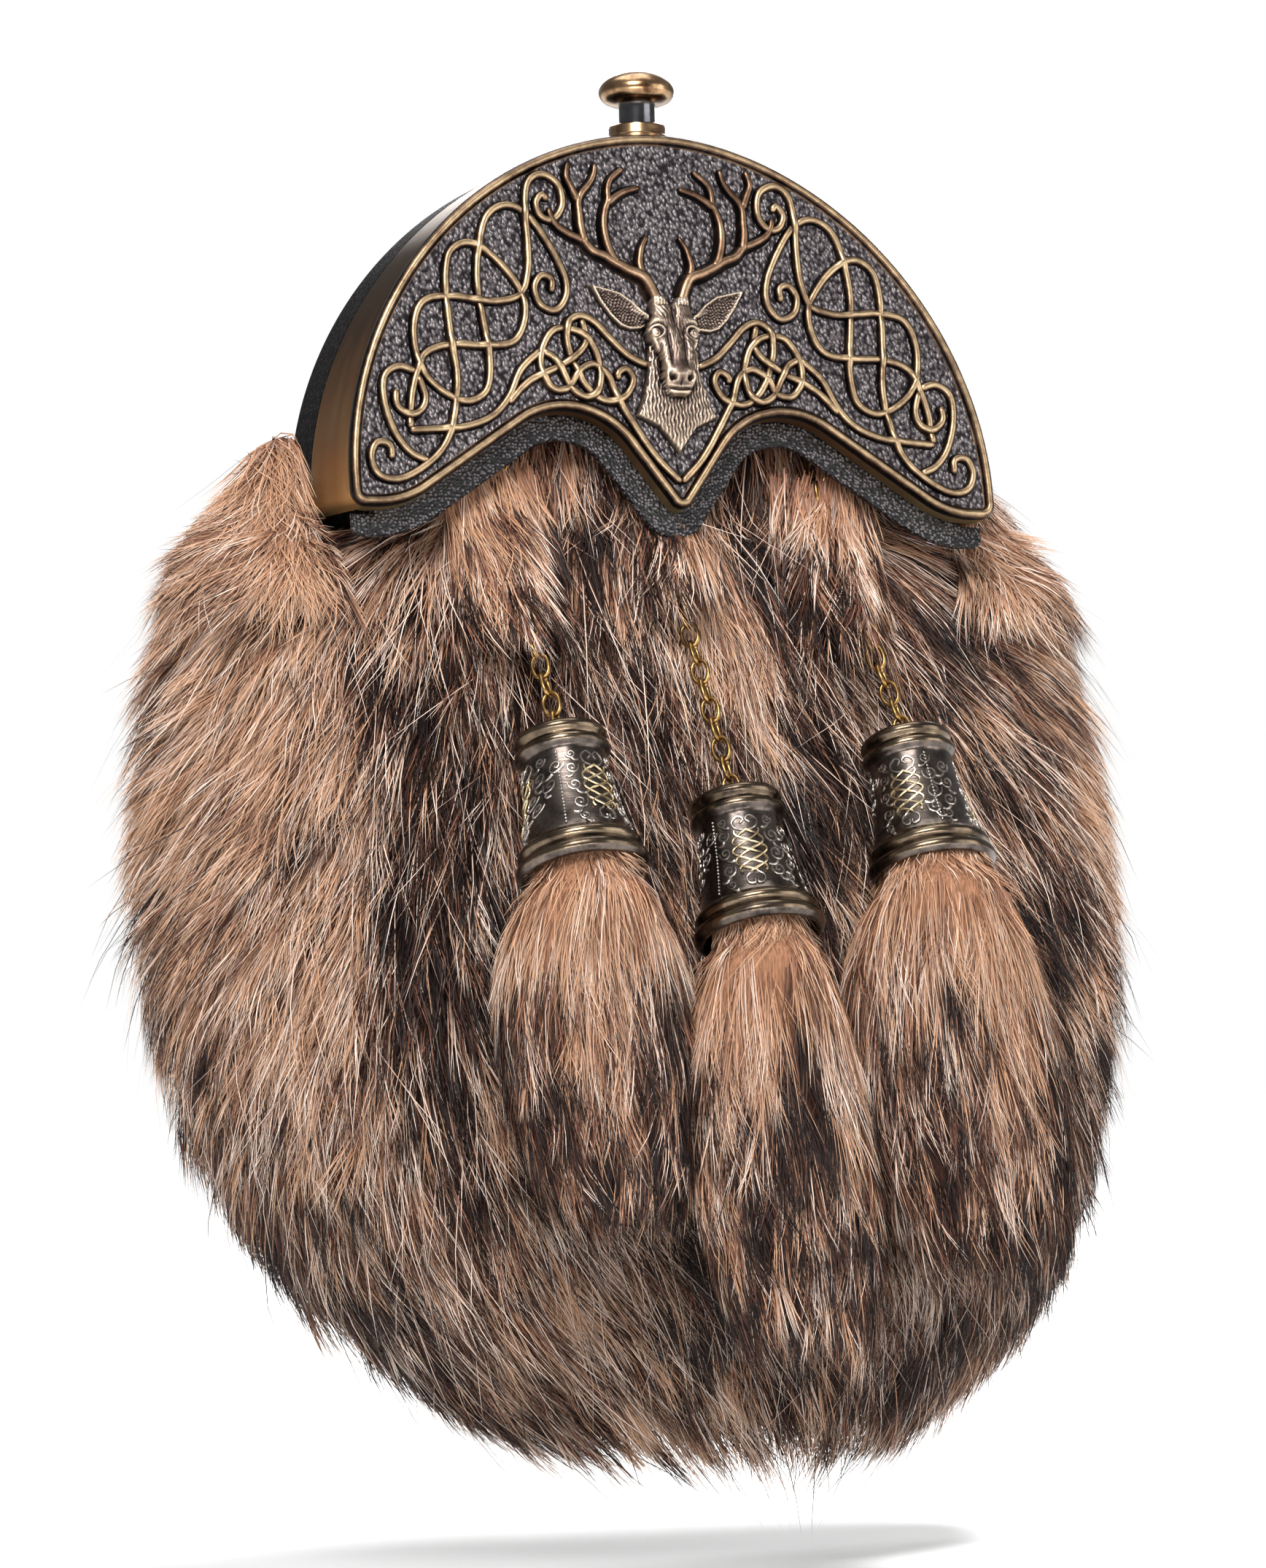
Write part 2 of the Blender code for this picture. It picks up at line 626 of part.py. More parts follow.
def bag_section(row, side, front, columns):
    """Half section of the bag at one height, from its left back edge to its right one.

    Args:
        row: one row of the bag's table, in metres.
        side: growth of the half width.
        front: growth of the depth.
        columns: number of steps across.
    """
    up, centre, half, near = row[:4]
    points = []
    for k in range(columns + 1):
        angle = math.pi * k / columns
        across = math.copysign(abs(math.cos(angle)) ** (2 / BAG_FULLNESS), -math.cos(angle))
        out = math.sin(angle) ** (2 / BAG_FULLNESS) if 0 < k < columns else 0.0
        points.append(Vector((centre + (half + side) * across,
                              BAG_BACK_Y - (BAG_BACK_Y - near + front) * out, up)))
    return points


def bag_block(name, sections, material, parent):
    """A closed body through sections of the bag, with a flat back and top.

    Args:
        name: object name.
        sections: rows of points from the top down, the last one drawn together at the floor.
        material: its finish.
        parent: the carrying empty.
    """
    def build(bm):
        rows = skin(bm, sections, last_cap=False, closed=False)
        bm.faces.new([row[0] for row in rows] + [row[-1] for row in reversed(rows)])

    return add_object(name, mesh_from(name, build), material, parent)


def bag_cavity(name, grow, floor_z, material, parent):
    """The bag's outer form, grown or shrunk, run on past its mouth and its open back."""
    past = BAG_BACK_Y + CUT_PAST
    sections = []
    for row in bag_rows():
        if row[0] < BAG_WIDEST_Z:
            row[0] -= grow
        points = bag_section(row, grow, grow, BAG_COLUMNS)
        behind = [Vector((points[i].x, past, points[i].z)) for i in (0, -1)]
        sections.append([behind[0], *points, behind[1]])
    above = [point + Vector((0.0, 0.0, CUT_PAST)) for point in sections[0]]
    floor_x = bag_rows()[-1][1]
    floor = [Vector((floor_x, BAG_BACK_Y, floor_z))] * (BAG_COLUMNS + 1)
    behind = Vector((floor_x, past, floor_z))
    return bag_block(name, [above, *sections, [behind, *floor, behind]], material, parent)


def make_pouch_shell(finishes, parent):
    """Hollow leather bag, open at the back panel and at the mouth inside the cantle."""
    rows = bag_rows()
    outer = [bag_section(row, 0.0, 0.0, BAG_COLUMNS) for row in rows]
    floor = [Vector((rows[-1][1], BAG_BACK_Y, BAG_FLOOR_Z))] * (BAG_COLUMNS + 1)
    shell = bag_block("pouch_shell", [*outer, floor], finishes["leather"], parent)
    hollow = bag_cavity("pouch_hollow", -BAG_WALL, BAG_FLOOR_Z + BAG_FLOOR_THICK,
                        finishes["leather"], parent)
    cut(shell, hollow, "DIFFERENCE")


def coat_sections():
    """Outer sections of the fur, with locks that step in and out from row to row."""
    sections = []
    tail = [[value * MM for value in (*row, 0.0, 0.0)] for row in COAT_TAIL]
    for i, row in enumerate(bag_rows() + tail):
        points = bag_section(row, row[4], row[5], COAT_COLUMNS)
        for k, point in enumerate(points):
            if i < FIRST_LOCK_ROW:
                break
            angle = math.pi * k / COAT_COLUMNS
            beside = abs(math.cos(angle)) ** 3
            crest = LOCK_CREST if (k + 2 * (i % 2)) % 4 < 2 else LOCK_GROOVE
            reach = blend((LOCK_FRONT, LOCK_SIDE), beside) * crest
            point.x -= math.cos(angle) * reach
            if 0 < k < COAT_COLUMNS:
                point.y -= math.sin(angle) * reach
        sections.append(points)
    for point in sections[-1][1:COAT_COLUMNS:2]:
        point.z -= LOCK_DROP
    floor = Vector((COAT_TIP[0] * MM, BAG_BACK_Y, COAT_TIP[1] * MM))
    return [*sections, [floor] * (COAT_COLUMNS + 1)]


def make_fur_coat(finishes, parent):
    """Fur round the bag: its outer form in stepped locks, hollow over the leather."""
    coat = bag_block("fur_coat", coat_sections(), finishes["fur"], parent)
    for mirror in (1.0, -1.0):
        cut(coat, make_shoulder("shoulder_fur", mirror, finishes["fur"], parent), "UNION")
    core = bag_cavity("coat_core", COAT_GAP, BAG_FLOOR_Z - COAT_GAP * 2, finishes["fur"], parent)
    cut(coat, core, "DIFFERENCE")


def make_shoulder(name, mirror, material, parent):
    """Fur rising over one shoulder of the bag, behind and beside the cantle's band."""
    def build(bm):
        loops = []
        for up, inner, outer, near in SHOULDER_ROWS:
            middle = (near + SHOULDER_BACK_Y / MM) / 2
            loops.append([Vector((x * MM * mirror, y * MM, up * MM)) for x, y in (
                (inner, SHOULDER_BACK_Y / MM), (inner, near), ((inner + outer) / 2, near - 0.6),
                (outer - 1.5, middle - 1.5), (outer, middle), (outer - 1.2, SHOULDER_BACK_Y / MM))])
        skin(bm, loops)

    return add_object(name, mesh_from(name, build), material, parent)


def panel_outline():
    """Outline of the back panel: the arch above, the bag's edge below, anticlockwise."""
    rows = [row for row in bag_rows() if row[0] < PANEL_SHOULDER_Z]
    right, left = [], []
    for row in rows:
        right.append(Vector((row[1] + row[2] + PANEL_MARGIN, row[0])))
        left.append(Vector((row[1] - row[2] - PANEL_MARGIN, row[0])))
    tip = Vector((rows[-1][1], BAG_FLOOR_Z - 1.0 * MM))
    arch = [Vector((p.x, p.y * math.cos(PLATE_LEAN))) for p in arch_path()]
    foot = [Vector((x * MM, z * MM)) for x, z in PANEL_FOOT]
    mirrored = [Vector((-p.x, p.y)) for p in foot]
    shape = left + [tip] + list(reversed(right)) + list(reversed(foot)) + arch + mirrored
    return shape, len(left) + 1 + len(right) + len(foot)


def make_back_panel(finishes, parent):
    """Leather back with the arched gusset that meets the cantle's band."""
    shape, arch_start = panel_outline()
    arch_end = arch_start + ARCH_STEPS - 1
    gusset_y = BAND_BACK_Y + GAP

    def loop(points, y_arch, y_rest):
        return [Vector((p.x, y_arch if arch_start - 1 <= i <= arch_end else y_rest, p.y))
                for i, p in enumerate(points)]

    def build(bm):
        inner = inset(shape, GUSSET_THICK)
        skin(bm, [loop(shape, PANEL_BACK_Y, PANEL_BACK_Y), loop(shape, gusset_y, PANEL_FRONT_Y),
                  loop(inner, gusset_y, PANEL_FRONT_Y),
                  loop(inner, PANEL_FRONT_Y, PANEL_FRONT_Y)])

    add_object("back_panel", mesh_from("back_panel", build), finishes["leather"], parent)


def make_belt_loops(finishes, parent):
    """Two upright leather loops that a belt or a chain strap passes through."""
    foot_y = PANEL_BACK_Y + GAP
    inner_y = foot_y + LOOP_STAND
    outer_y = inner_y + LOOP_THICK
    half, tab = LOOP_HALF_SLOT, LOOP_TAB
    profile = [(foot_y, half + tab), (foot_y, half), (inner_y - 1.5 * MM, half - 0.4 * MM),
               (inner_y, half - 2.4 * MM)]
    profile += [(y, -z) for y, z in reversed(profile)]
    back = [(foot_y + LOOP_THICK, half + tab), (outer_y, half + 0.6 * MM)]
    profile += [(y, -z) for y, z in back] + [(y, z) for y, z in reversed(back)]
    for side, mirror in (("left", -1.0), ("right", 1.0)):
        def build(bm, mirror=mirror):
            ends = [LOOP_X * mirror - LOOP_WIDTH / 2, LOOP_X * mirror + LOOP_WIDTH / 2]
            skin(bm, [[Vector((x, y, LOOP_Z + z)) for y, z in profile] for x in ends])

        add_object(f"belt_loop_{side}", mesh_from(f"belt_loop_{side}", build),
                   finishes["leather"], parent)


def bell_frame(tassel):
    """Matrix of a bell: local -Z runs down its axis from the top."""
    top = Vector(tassel["top"]) * MM
    return Matrix.Translation(top) @ Matrix.Rotation(-BELL_TILT, 4, "X")


def make_bell(tassel, finishes, parent):
    """Turned bell with two beads at each end, hollow, with a hole for the chain."""
    frame = bell_frame(tassel)

    def build(bm):
        loops = []
        for down, radius in (*BELL_PROFILE, BELL_PROFILE[0]):
            loops.append([frame @ Vector((radius * MM * math.cos(math.tau * k / BELL_SIDES),
                                          radius * MM * math.sin(math.tau * k / BELL_SIDES),
                                          -down * MM)) for k in range(BELL_SIDES)])
        skin(bm, loops, first_cap=False, last_cap=False)

    name = f"bell_{tassel['side']}"
    add_object(name, mesh_from(name, build), finishes["bell"], parent)


def tassel_ring(centre, tilt, across, deep, flute, turn):
    """One ring of a tassel, with ridges and grooves for its locks."""
    ring = []
    for k in range(TASSEL_SIDES):
        angle = math.tau * (k + turn) / TASSEL_SIDES
        swell = 1.0 + flute * (1.0 if k % 2 == 0 else -1.0)
        local = Vector((across * swell * math.cos(angle), deep * swell * math.sin(angle), 0.0))
        ring.append(centre + Matrix.Rotation(tilt, 3, "X") @ local)
    return ring


def make_tassel(tassel, finishes, parent):
    """Fur tassel: a head held in the bell and tapering locks fused to it."""
    frame = bell_frame(tassel)
    drop, drift, spread = tassel["drop"] * MM, tassel["drift"] * MM, tassel["spread"] * MM
    mouth = frame @ Vector((0.0, 0.0, -TASSEL_HEAD[-1][0] * MM))
    # Locks below the mouth: share of the drop, share of the spread, depth share, flute
    table = ((0.12, 0.78, 0.72, 0.06), (0.32, 1.0, 0.66, 0.1), (0.58, 0.98, 0.6, 0.14),
             (0.8, 0.72, 0.5, 0.2))

    def build(bm):
        loops = []
        for down, radius in TASSEL_HEAD:
            centre = frame @ Vector((0.0, 0.0, -down * MM))
            loops.append(tassel_ring(centre, -BELL_TILT, radius * MM, radius * MM, 0.0, 0))
        for share, wide, thick, flute in table:
            centre = mouth + Vector((drift * share ** 1.5, 1.5 * MM * share, -drop * share))
            tilt = -BELL_TILT * (1.0 - share) ** 2
            loops.append(tassel_ring(centre, tilt, spread * wide, spread * thick, flute, 0))
        tip = mouth + Vector((drift, 1.5 * MM, -drop))
        last = []
        for k, point in enumerate(tassel_ring(tip, 0.0, spread * 0.42, spread * 0.3, 0.25, 0)):
            fall = 0.0 if k % 2 == 0 else 11.0 * MM
            last.append(point + Vector((0.0, 0.0, fall)))
        loops.append(last)
        rows = skin(bm, loops, last_cap=False)
        core = bm.verts.new(tip + Vector((0.0, 0.0, 13.0 * MM)))
        for k, vert in enumerate(rows[-1]):
            bm.faces.new((vert, rows[-1][(k + 1) % TASSEL_SIDES], core))

    name = f"tassel_{tassel['side']}"
    add_object(name, mesh_from(name, build), finishes["tassel"], parent)


def add_link(bm, centre, along, across, length):
    """One oval link of round wire, its long axis along and its flat side across."""
    normal = along.cross(across).normalized()
    long_half = (length - LINK_WIRE) / 2
    wide_half = (LINK_WIDTH - LINK_WIRE) / 2
    loops = []
    for k in range(LINK_SIDES):
        angle = math.tau * (k + 0.5) / LINK_SIDES
        place = (centre + along * (long_half * math.cos(angle))
                 + across * (wide_half * math.sin(angle)))
        radial = along * (wide_half * math.cos(angle)) + across * (long_half * math.sin(angle))
        radial.normalize()
        loops.append([place + (radial * math.cos(math.tau * j / WIRE_SIDES)
                               + normal * math.sin(math.tau * j / WIRE_SIDES)) * LINK_WIRE / 2
                      for j in range(WIRE_SIDES)])
    skin(bm, [*loops, loops[0]], first_cap=False, last_cap=False)


def make_chain(tassel, finishes, parent):
    """Cable chain from a stud behind the apron to a keeper disc inside the bell's top.

    Every second link stands across its neighbours, and each sinks a little into the next.
    """
    name = f"chain_{tassel['side']}"
    frame = bell_frame(tassel)
    route = [Vector(point) * MM for point in CHAIN_ROUTES[tassel["side"]]]
    route += [frame @ Vector((0.0, 0.0, 3.0 * MM)), frame @ Vector((0.0, 0.0, -KEEPER_DOWN[0] * MM))]
    places = smooth_route(route, LINK_PITCH)
    halves = ([], [])
    for i, (near, far) in enumerate(zip(places, places[1:])):
        along = (far - near).normalized()
        flat = (Vector((1.0, 0.0, 0.0)) - along * along.x).normalized()
        across = Matrix.Rotation(LINK_TURN if i % 2 else -LINK_TURN, 3, along) @ flat
        length = (far - near).length + 2 * LINK_WIRE - LINK_FUSE
        halves[i % 2].append(((near + far) / 2, along, across, length))
    parts = []
    for label, half in (("", halves[0]), ("_across", halves[1])):
        def build(bm, half=half):
            for link in half:
                add_link(bm, *link)

        parts.append(add_object(name + label, mesh_from(name + label, build),
                                finishes["chain"], parent))
    chain, across_links = parts
    cut(chain, across_links, "UNION")
    cut(chain, make_stud(name, places[0], finishes["chain"], parent), "UNION")
    cut(chain, make_keeper(name, frame, finishes["chain"], parent), "UNION")


def make_stud(name, top, material, parent):
    """Plain stud behind the apron whose post the first link hangs on."""
    near = LIP_DEPTH + APRON_THICK + 2 * GAP

    def build(bm):
        loops = []
        for out, radius in ((near, STUD_RADIUS), (near + STUD_THICK, STUD_RADIUS),
                            (near + STUD_THICK, POST_RADIUS), (near + POST_LENGTH, POST_RADIUS)):
            loops.append([on_plate(top.x + radius * math.cos(math.tau * k / STUD_SIDES),
                                   top.z + radius * math.sin(math.tau * k / STUD_SIDES), -out)
                          for k in range(STUD_SIDES)])
        skin(bm, loops)

    return add_object(name + "_stud", mesh_from(name + "_stud", build), material, parent)


def make_keeper(name, frame, material, parent):
    """Disc on the last link, under the bell's top, that the bell hangs on."""
    def build(bm):
        skin(bm, [[frame @ Vector((KEEPER_RADIUS * MM * math.cos(math.tau * k / KEEPER_SIDES),
                                   KEEPER_RADIUS * MM * math.sin(math.tau * k / KEEPER_SIDES),
                                   -down * MM)) for k in range(KEEPER_SIDES)]
                  for down in KEEPER_DOWN])

    return add_object(name + "_keeper", mesh_from(name + "_keeper", build), material, parent)


def main():
    """Build every piece under one empty."""
    clear_scene()
    carrier = bpy.data.objects.new("sporran_carrier", None)
    bpy.context.scene.collection.objects.link(carrier)
    carrier.location = -HANG_POINT
    finishes = make_finishes()
    make_cantle(finishes, carrier)
    make_knob(finishes, carrier)
    make_apron(finishes, carrier)
    make_back_panel(finishes, carrier)
    make_belt_loops(finishes, carrier)
    make_pouch_shell(finishes, carrier)
    make_fur_coat(finishes, carrier)
    for tassel in TASSELS:
        make_bell(tassel, finishes, carrier)
        make_tassel(tassel, finishes, carrier)
        make_chain(tassel, finishes, carrier)
    bpy.context.view_layer.update()


main()
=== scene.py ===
import logging
import math
from dataclasses import dataclass, field
from enum import Enum
from typing import Callable, Iterable, Sequence

import bmesh
import bpy
import numpy as np
from mathutils import Matrix, Vector


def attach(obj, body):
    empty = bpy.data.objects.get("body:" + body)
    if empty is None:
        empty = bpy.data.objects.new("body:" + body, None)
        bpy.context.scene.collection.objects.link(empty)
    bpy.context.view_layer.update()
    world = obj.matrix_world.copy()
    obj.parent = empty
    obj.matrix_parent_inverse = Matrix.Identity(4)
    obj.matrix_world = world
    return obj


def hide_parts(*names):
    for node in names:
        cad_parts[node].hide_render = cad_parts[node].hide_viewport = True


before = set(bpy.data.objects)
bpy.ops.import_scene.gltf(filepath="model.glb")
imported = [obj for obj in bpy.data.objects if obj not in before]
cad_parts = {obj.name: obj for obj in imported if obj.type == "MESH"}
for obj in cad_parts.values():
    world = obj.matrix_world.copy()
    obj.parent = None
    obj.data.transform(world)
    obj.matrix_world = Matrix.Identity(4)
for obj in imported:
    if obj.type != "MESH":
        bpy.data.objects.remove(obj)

Material = bpy.types.Material
Piece = bpy.types.Object
Socket = bpy.types.NodeSocket
Array = np.ndarray
Rows = Sequence[Sequence[float]]
Pair = tuple[float, float]
Triple = tuple[float, float, float]
Dice = np.random.Generator
Field = Callable[[Array], Array]
Shade = Callable[[Array, Dice], Array]

LOG = logging.getLogger("sporran")
MM = 0.001
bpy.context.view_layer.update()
# The part's hanging point in the working frame of its drawings, whose origin is the plate's lowest tip
HANG_POINT = np.array((0.0, 41.6, 40.0))
PLATE_LEAN = math.radians(8.0)
LEAN, RISE = math.sin(PLATE_LEAN), math.cos(PLATE_LEAN)
SEED = 11


def linear(code: str) -> tuple[float, float, float, float]:
    """Turn an sRGB hex colour into linear RGBA.

    Args:
        code: colour as #rrggbb.

    Returns:
        The four linear channels.
    """
    channels = [int(code[i:i + 2], 16) / 255 for i in (1, 3, 5)]
    toned = [c / 12.92 if c <= 0.04045 else ((c + 0.055) / 1.055) ** 2.4 for c in channels]
    return (*toned, 1.0)


def blend(level: Array, steps: Sequence[float], codes: Sequence[str]) -> Array:
    """Linear colours read at each level, between hex colours that stand at the steps."""
    tints = np.array([linear(code)[:3] for code in codes])
    return np.stack([np.interp(level, steps, tints[:, k]) for k in range(3)], axis=-1)


def to_world(points: Array) -> Array:
    """Move points of the working frame, in millimetres, into the model's frame in metres."""
    return (np.asarray(points, dtype=float) - HANG_POINT) * MM


def on_plate(x: Array, z: Array, height: Array) -> Array:
    """Points of the working frame at places across and up the leaning plate, and at a height over it."""
    x, z, height = np.broadcast_arrays(x, z, height)
    return np.stack((x, z * LEAN - height * RISE, z * RISE + height * LEAN), axis=-1)


def unit(vectors: Array) -> Array:
    """Vectors of length one."""
    return vectors / np.maximum(np.linalg.norm(vectors, axis=-1, keepdims=True), 1e-12)


def run_along(path: Array) -> Array:
    """Distance from a path's start to each of its points."""
    return np.concatenate(((0.0,), np.cumsum(np.linalg.norm(np.diff(path, axis=0), axis=1))))


def resample(path: Array, count: int) -> Array:
    """A number of points spread evenly along a path, first and last ones kept."""
    run = run_along(path)
    return np.stack([np.interp(np.linspace(0.0, run[-1], count), run, x) for x in path.T], axis=-1)


def smooth_curve(points: Rows, step: float) -> Array:
    """Even points of a Catmull-Rom curve.

    Args:
        points: the points that the curve goes through.
        step: wanted spacing.

    Returns:
        Points along the curve, first and last ones kept.
    """
    knots = np.asarray(points, dtype=float)
    ends = np.vstack((2 * knots[0] - knots[1], knots, 2 * knots[-1] - knots[-2]))
    share = np.linspace(0.0, 1.0, 12, endpoint=False)[:, None]
    fine = []
    for a, b, c, d in zip(ends, ends[1:], ends[2:], ends[3:]):
        fine.append(0.5 * (2 * b + (c - a) * share + (2 * a - 5 * b + 4 * c - d) * share ** 2
                           + (3 * b - a - 3 * c + d) * share ** 3))
    path = np.vstack((*fine, knots[-1:]))
    return resample(path, max(2, round(run_along(path)[-1] / step)) + 1)


def ease(value: Array, start: float, span: Array | float) -> Array:
    """Share from 0 at the start to 1 a span farther on."""
    return np.clip((value - start) / span, 0.0, 1.0)


def hill(value: Array, centre: float, width: float) -> Array:
    """Soft rise of height 1 about a centre."""
    return np.exp(-((value - centre) / width) ** 2)


def add_object(name: str, data: bpy.types.ID) -> Piece:
    """Link an object for a mesh, a camera or a lamp.

    Args:
        name: the object's name.
        data: what it holds.

    Returns:
        The new object.
    """
    piece = bpy.data.objects.new(name, data)
    bpy.context.scene.collection.objects.link(piece)
    return piece


def add_mesh(name: str, points: Array, counts: Array, corners: Array,
             material: Material) -> Piece:
    """Make an object from arrays of points and faces.

    Args:
        name: the piece's name.
        points: corners in metres.
        counts: number of corners of each face.
        corners: indices of the faces' corners, one face after the other.
        material: what covers it.

    Returns:
        The new object, which rides on nothing yet.
    """
    mesh = bpy.data.meshes.new(name)
    mesh.vertices.add(len(points))
    mesh.vertices.foreach_set("co", np.ascontiguousarray(points, dtype=np.float32).ravel())
    mesh.loops.add(len(corners))
    mesh.loops.foreach_set("vertex_index", np.ascontiguousarray(corners, dtype=np.int32))
    mesh.polygons.add(len(counts))
    starts = np.concatenate(((0,), np.cumsum(counts)[:-1])).astype(np.int32)
    mesh.polygons.foreach_set("loop_start", starts)
    mesh.update(calc_edges=True)
    mesh.validate()
    mesh.materials.append(material)
    mesh.shade_smooth()
    piece = add_object(name, mesh)
    return piece


def add_grid(name: str, grid: Array, kept: Array, material: Material,
             order: Sequence[int] = (0, 1, 2, 3)) -> tuple[Piece, Array]:
    """Make an object of some cells of a grid.

    Args:
        name: the piece's name.
        grid: rows of points of the working frame.
        kept: which cells are made.
        material: what covers them.
        order: order of a cell's corners, which turns its face over.

    Returns:
        The new object, and which of the grid's points it uses.
    """
    high, wide = grid.shape[:2]
    index = np.arange(high * wide).reshape(high, wide)
    cells = np.stack((index[:-1, :-1], index[1:, :-1], index[1:, 1:], index[:-1, 1:]), axis=-1)
    faces = cells[kept][:, list(order)]
    used, corners = np.unique(faces, return_inverse=True)
    piece = add_mesh(name, to_world(grid.reshape(-1, 3)[used]), np.full(len(faces), 4),
                     corners.ravel(), material)
    return piece, used


def store_colours(piece: Piece, layer: str, colours: Array) -> None:
    """Store a linear colour for each of a piece's points."""
    full = np.concatenate((colours, np.ones((*colours.shape[:-1], 1))), axis=-1)
    piece.data.color_attributes.new(layer, "FLOAT_COLOR", "POINT").data.foreach_set("color", full.ravel())


def settle(piece: Piece, node: str = "", body: str = "pouch") -> None:
    """Put a piece on its body and report it.

    Args:
        piece: what was made.
        node: CAD node that it stands for, if it does.
        body: the body that carries it.
    """
    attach(piece, body)
    if node:
        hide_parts(node)
    LOG.info("%s: %d faces", piece.name, len(piece.data.polygons))


@dataclass
class MeshParts:
    """Points and faces gathered from several forms before they become one object."""

    points: list[Array] = field(default_factory=list)
    faces: list[tuple[int, ...]] = field(default_factory=list)
    count: int = 0

    def add(self, points: Array, faces: Iterable[Sequence[int]]) -> None:
        """Add one form.

        Args:
            points: its corners.
            faces: its faces, counted from its own first corner.
        """
        self.points.append(np.asarray(points, dtype=float))
        self.faces.extend(tuple(int(i) + self.count for i in one) for one in faces)
        self.count += len(points)

    def add_loops(self, loops: Array, ring: bool = False) -> None:
        """Join closed loops of equal count with quads.

        Args:
            loops: array of loops, each an array of points.
            ring: whether the last loop joins the first one, where both would get a face.
        """
        rows, across = loops.shape[:2]
        grid = np.arange(rows * across).reshape(rows, across)
        faces = []
        for i in range(rows if ring else rows - 1):
            near, far = grid[i], grid[(i + 1) % rows]
            for k in range(across):
                j = (k + 1) % across
                faces.append((near[k], near[j], far[j], far[k]))
        if not ring:
            faces += [tuple(grid[0][::-1]), tuple(grid[-1])]
        self.add(loops.reshape(-1, 3), faces)

    def build(self, name: str, material: Material, slot: str, sharp: float = 40.0) -> Piece:
        """Make one object of everything gathered.

        Args:
            name: the piece's name.
            material: what covers it.
            slot: material slot of the record; not used.
            sharp: edges that turn by more than this many degrees stay sharp.

        Returns:
            The new object.
        """
        counts = np.array([len(one) for one in self.faces])
        corners = np.array([i for one in self.faces for i in one])
        piece = add_mesh(name, to_world(np.vstack(self.points)), counts, corners, material)
        bm = bmesh.new()
        bm.from_mesh(piece.data)
        bmesh.ops.recalc_face_normals(bm, faces=bm.faces)
        bm.to_mesh(piece.data)
        bm.free()
        piece.data.set_sharp_from_angle(angle=math.radians(sharp))
        return piece


def sweep(path: Array, section: Array, up: Array,
          scale: Array | float = 1.0) -> Array:
    """Carry a section along a path.

    Args:
        path: points along it.
        section: (side, up) offsets of the section's corners.
        up: which way the section's up points.
        scale: size of the section, one value or one for each point of the path.

    Returns:
        Loops of points, one for each point of the path.
    """
    along = unit(np.gradient(path, axis=0))
    side = unit(np.cross(along, np.broadcast_to(up, path.shape)))
    rise = np.cross(side, along)
    size = np.broadcast_to(scale, len(path))[:, None, None]
    offsets = side[:, None] * section[None, :, :1] + rise[:, None] * section[None, :, 1:]
    return path[:, None] + offsets * size


def round_section(radius: float, sides: int) -> Array:
    """Corners of a round section."""
    turn = np.linspace(0.0, math.tau, sides, endpoint=False)
    return np.stack((radius * np.cos(turn), radius * np.sin(turn)), axis=-1)


def set_up(node: bpy.types.Node, settings: dict) -> None:
    """Set and link what a node takes.

    Args:
        node: the node.
        settings: its properties by name, its inputs by name or number, and a ramp's colours as stops.
            A socket in place of a value is linked.
    """
    for key, value in settings.items():
        if isinstance(value, Socket):
            node.id_data.links.new(value, node.inputs[key])
        elif key == "stops":
            elements = node.color_ramp.elements
            while len(elements) < len(value):
                elements.new(0.5)
            for element, (place, colour) in zip(elements, value):
                element.position = place
                element.color = linear(colour)
        elif isinstance(key, str) and hasattr(node, key):
            setattr(node, key, value)
        else:
            node.inputs[key].default_value = value


def add_node(tree: bpy.types.NodeTree, kind: str, settings: dict) -> bpy.types.bpy_prop_collection:
    """Add one node with its settings and links.

    Args:
        tree: node tree that it is added to.
        kind: Blender's name for the node after ShaderNode.
        settings: what the node takes, as in set_up.

    Returns:
        The new node's outputs.
    """
    node = tree.nodes.new("ShaderNode" + kind)
    set_up(node, settings)
    return node.outputs


@dataclass
class Surfacing:
    """A new material with its shader, to which a finish adds its own pattern."""

    name: str
    roughness: float
    metallic: float = 0.0

    def __post_init__(self) -> None:
        """Create the material and its Principled shader."""
        self.material = bpy.data.materials.new(self.name)
        self.material.use_nodes = True
        self.place = self.add("TexCoord", {})["Object"]

    def add(self, kind: str, settings: dict) -> bpy.types.bpy_prop_collection:
        """Add a node to the material."""
        return add_node(self.material.node_tree, kind, settings)

    def cover(self, colour: Socket | tuple[float, ...], inputs: dict | None = None,
              height: Socket | None = None, relief_mm: float = 0.0) -> Material:
        """Give the shader its colour, its gloss and its relief.

        Args:
            colour: what the surface shows.
            inputs: further inputs of the shader by name.
            height: pattern that raises the surface, from 0 to 1.
            relief_mm: what 1 stands for.

        Returns:
            The finished material.
        """
        taken = {"Roughness": self.roughness, "Metallic": self.metallic, "Base Color": colour}
        if height is not None:
            raised = {"Strength": 1.0, "Distance": relief_mm * MM, "Height": height}
            taken["Normal"] = self.add("Bump", raised)["Normal"]
        set_up(self.material.node_tree.nodes["Principled BSDF"], taken | (inputs or {}))
        return self.material


@dataclass(frozen=True)
class HairFinish:
    """Guard hair and underfur, cream and tan banded with near black.

    Each strand carries its own colour; the eye gets soft strands with a low, broad gloss.
    """

    name: str = "banded_fur_strands"
    roughness: float = 0.5
    ior: float = 1.55
    gloss: float = 0.16

    def make(self) -> Material:
        """Build the material.

        Returns:
            The material.
        """
        skin = Surfacing(self.name, self.roughness)
        strand = skin.add("VertexColor", {"layer_name": "strand"})
        return skin.cover(strand["Color"], {"IOR": self.ior, "Specular IOR Level": self.gloss})


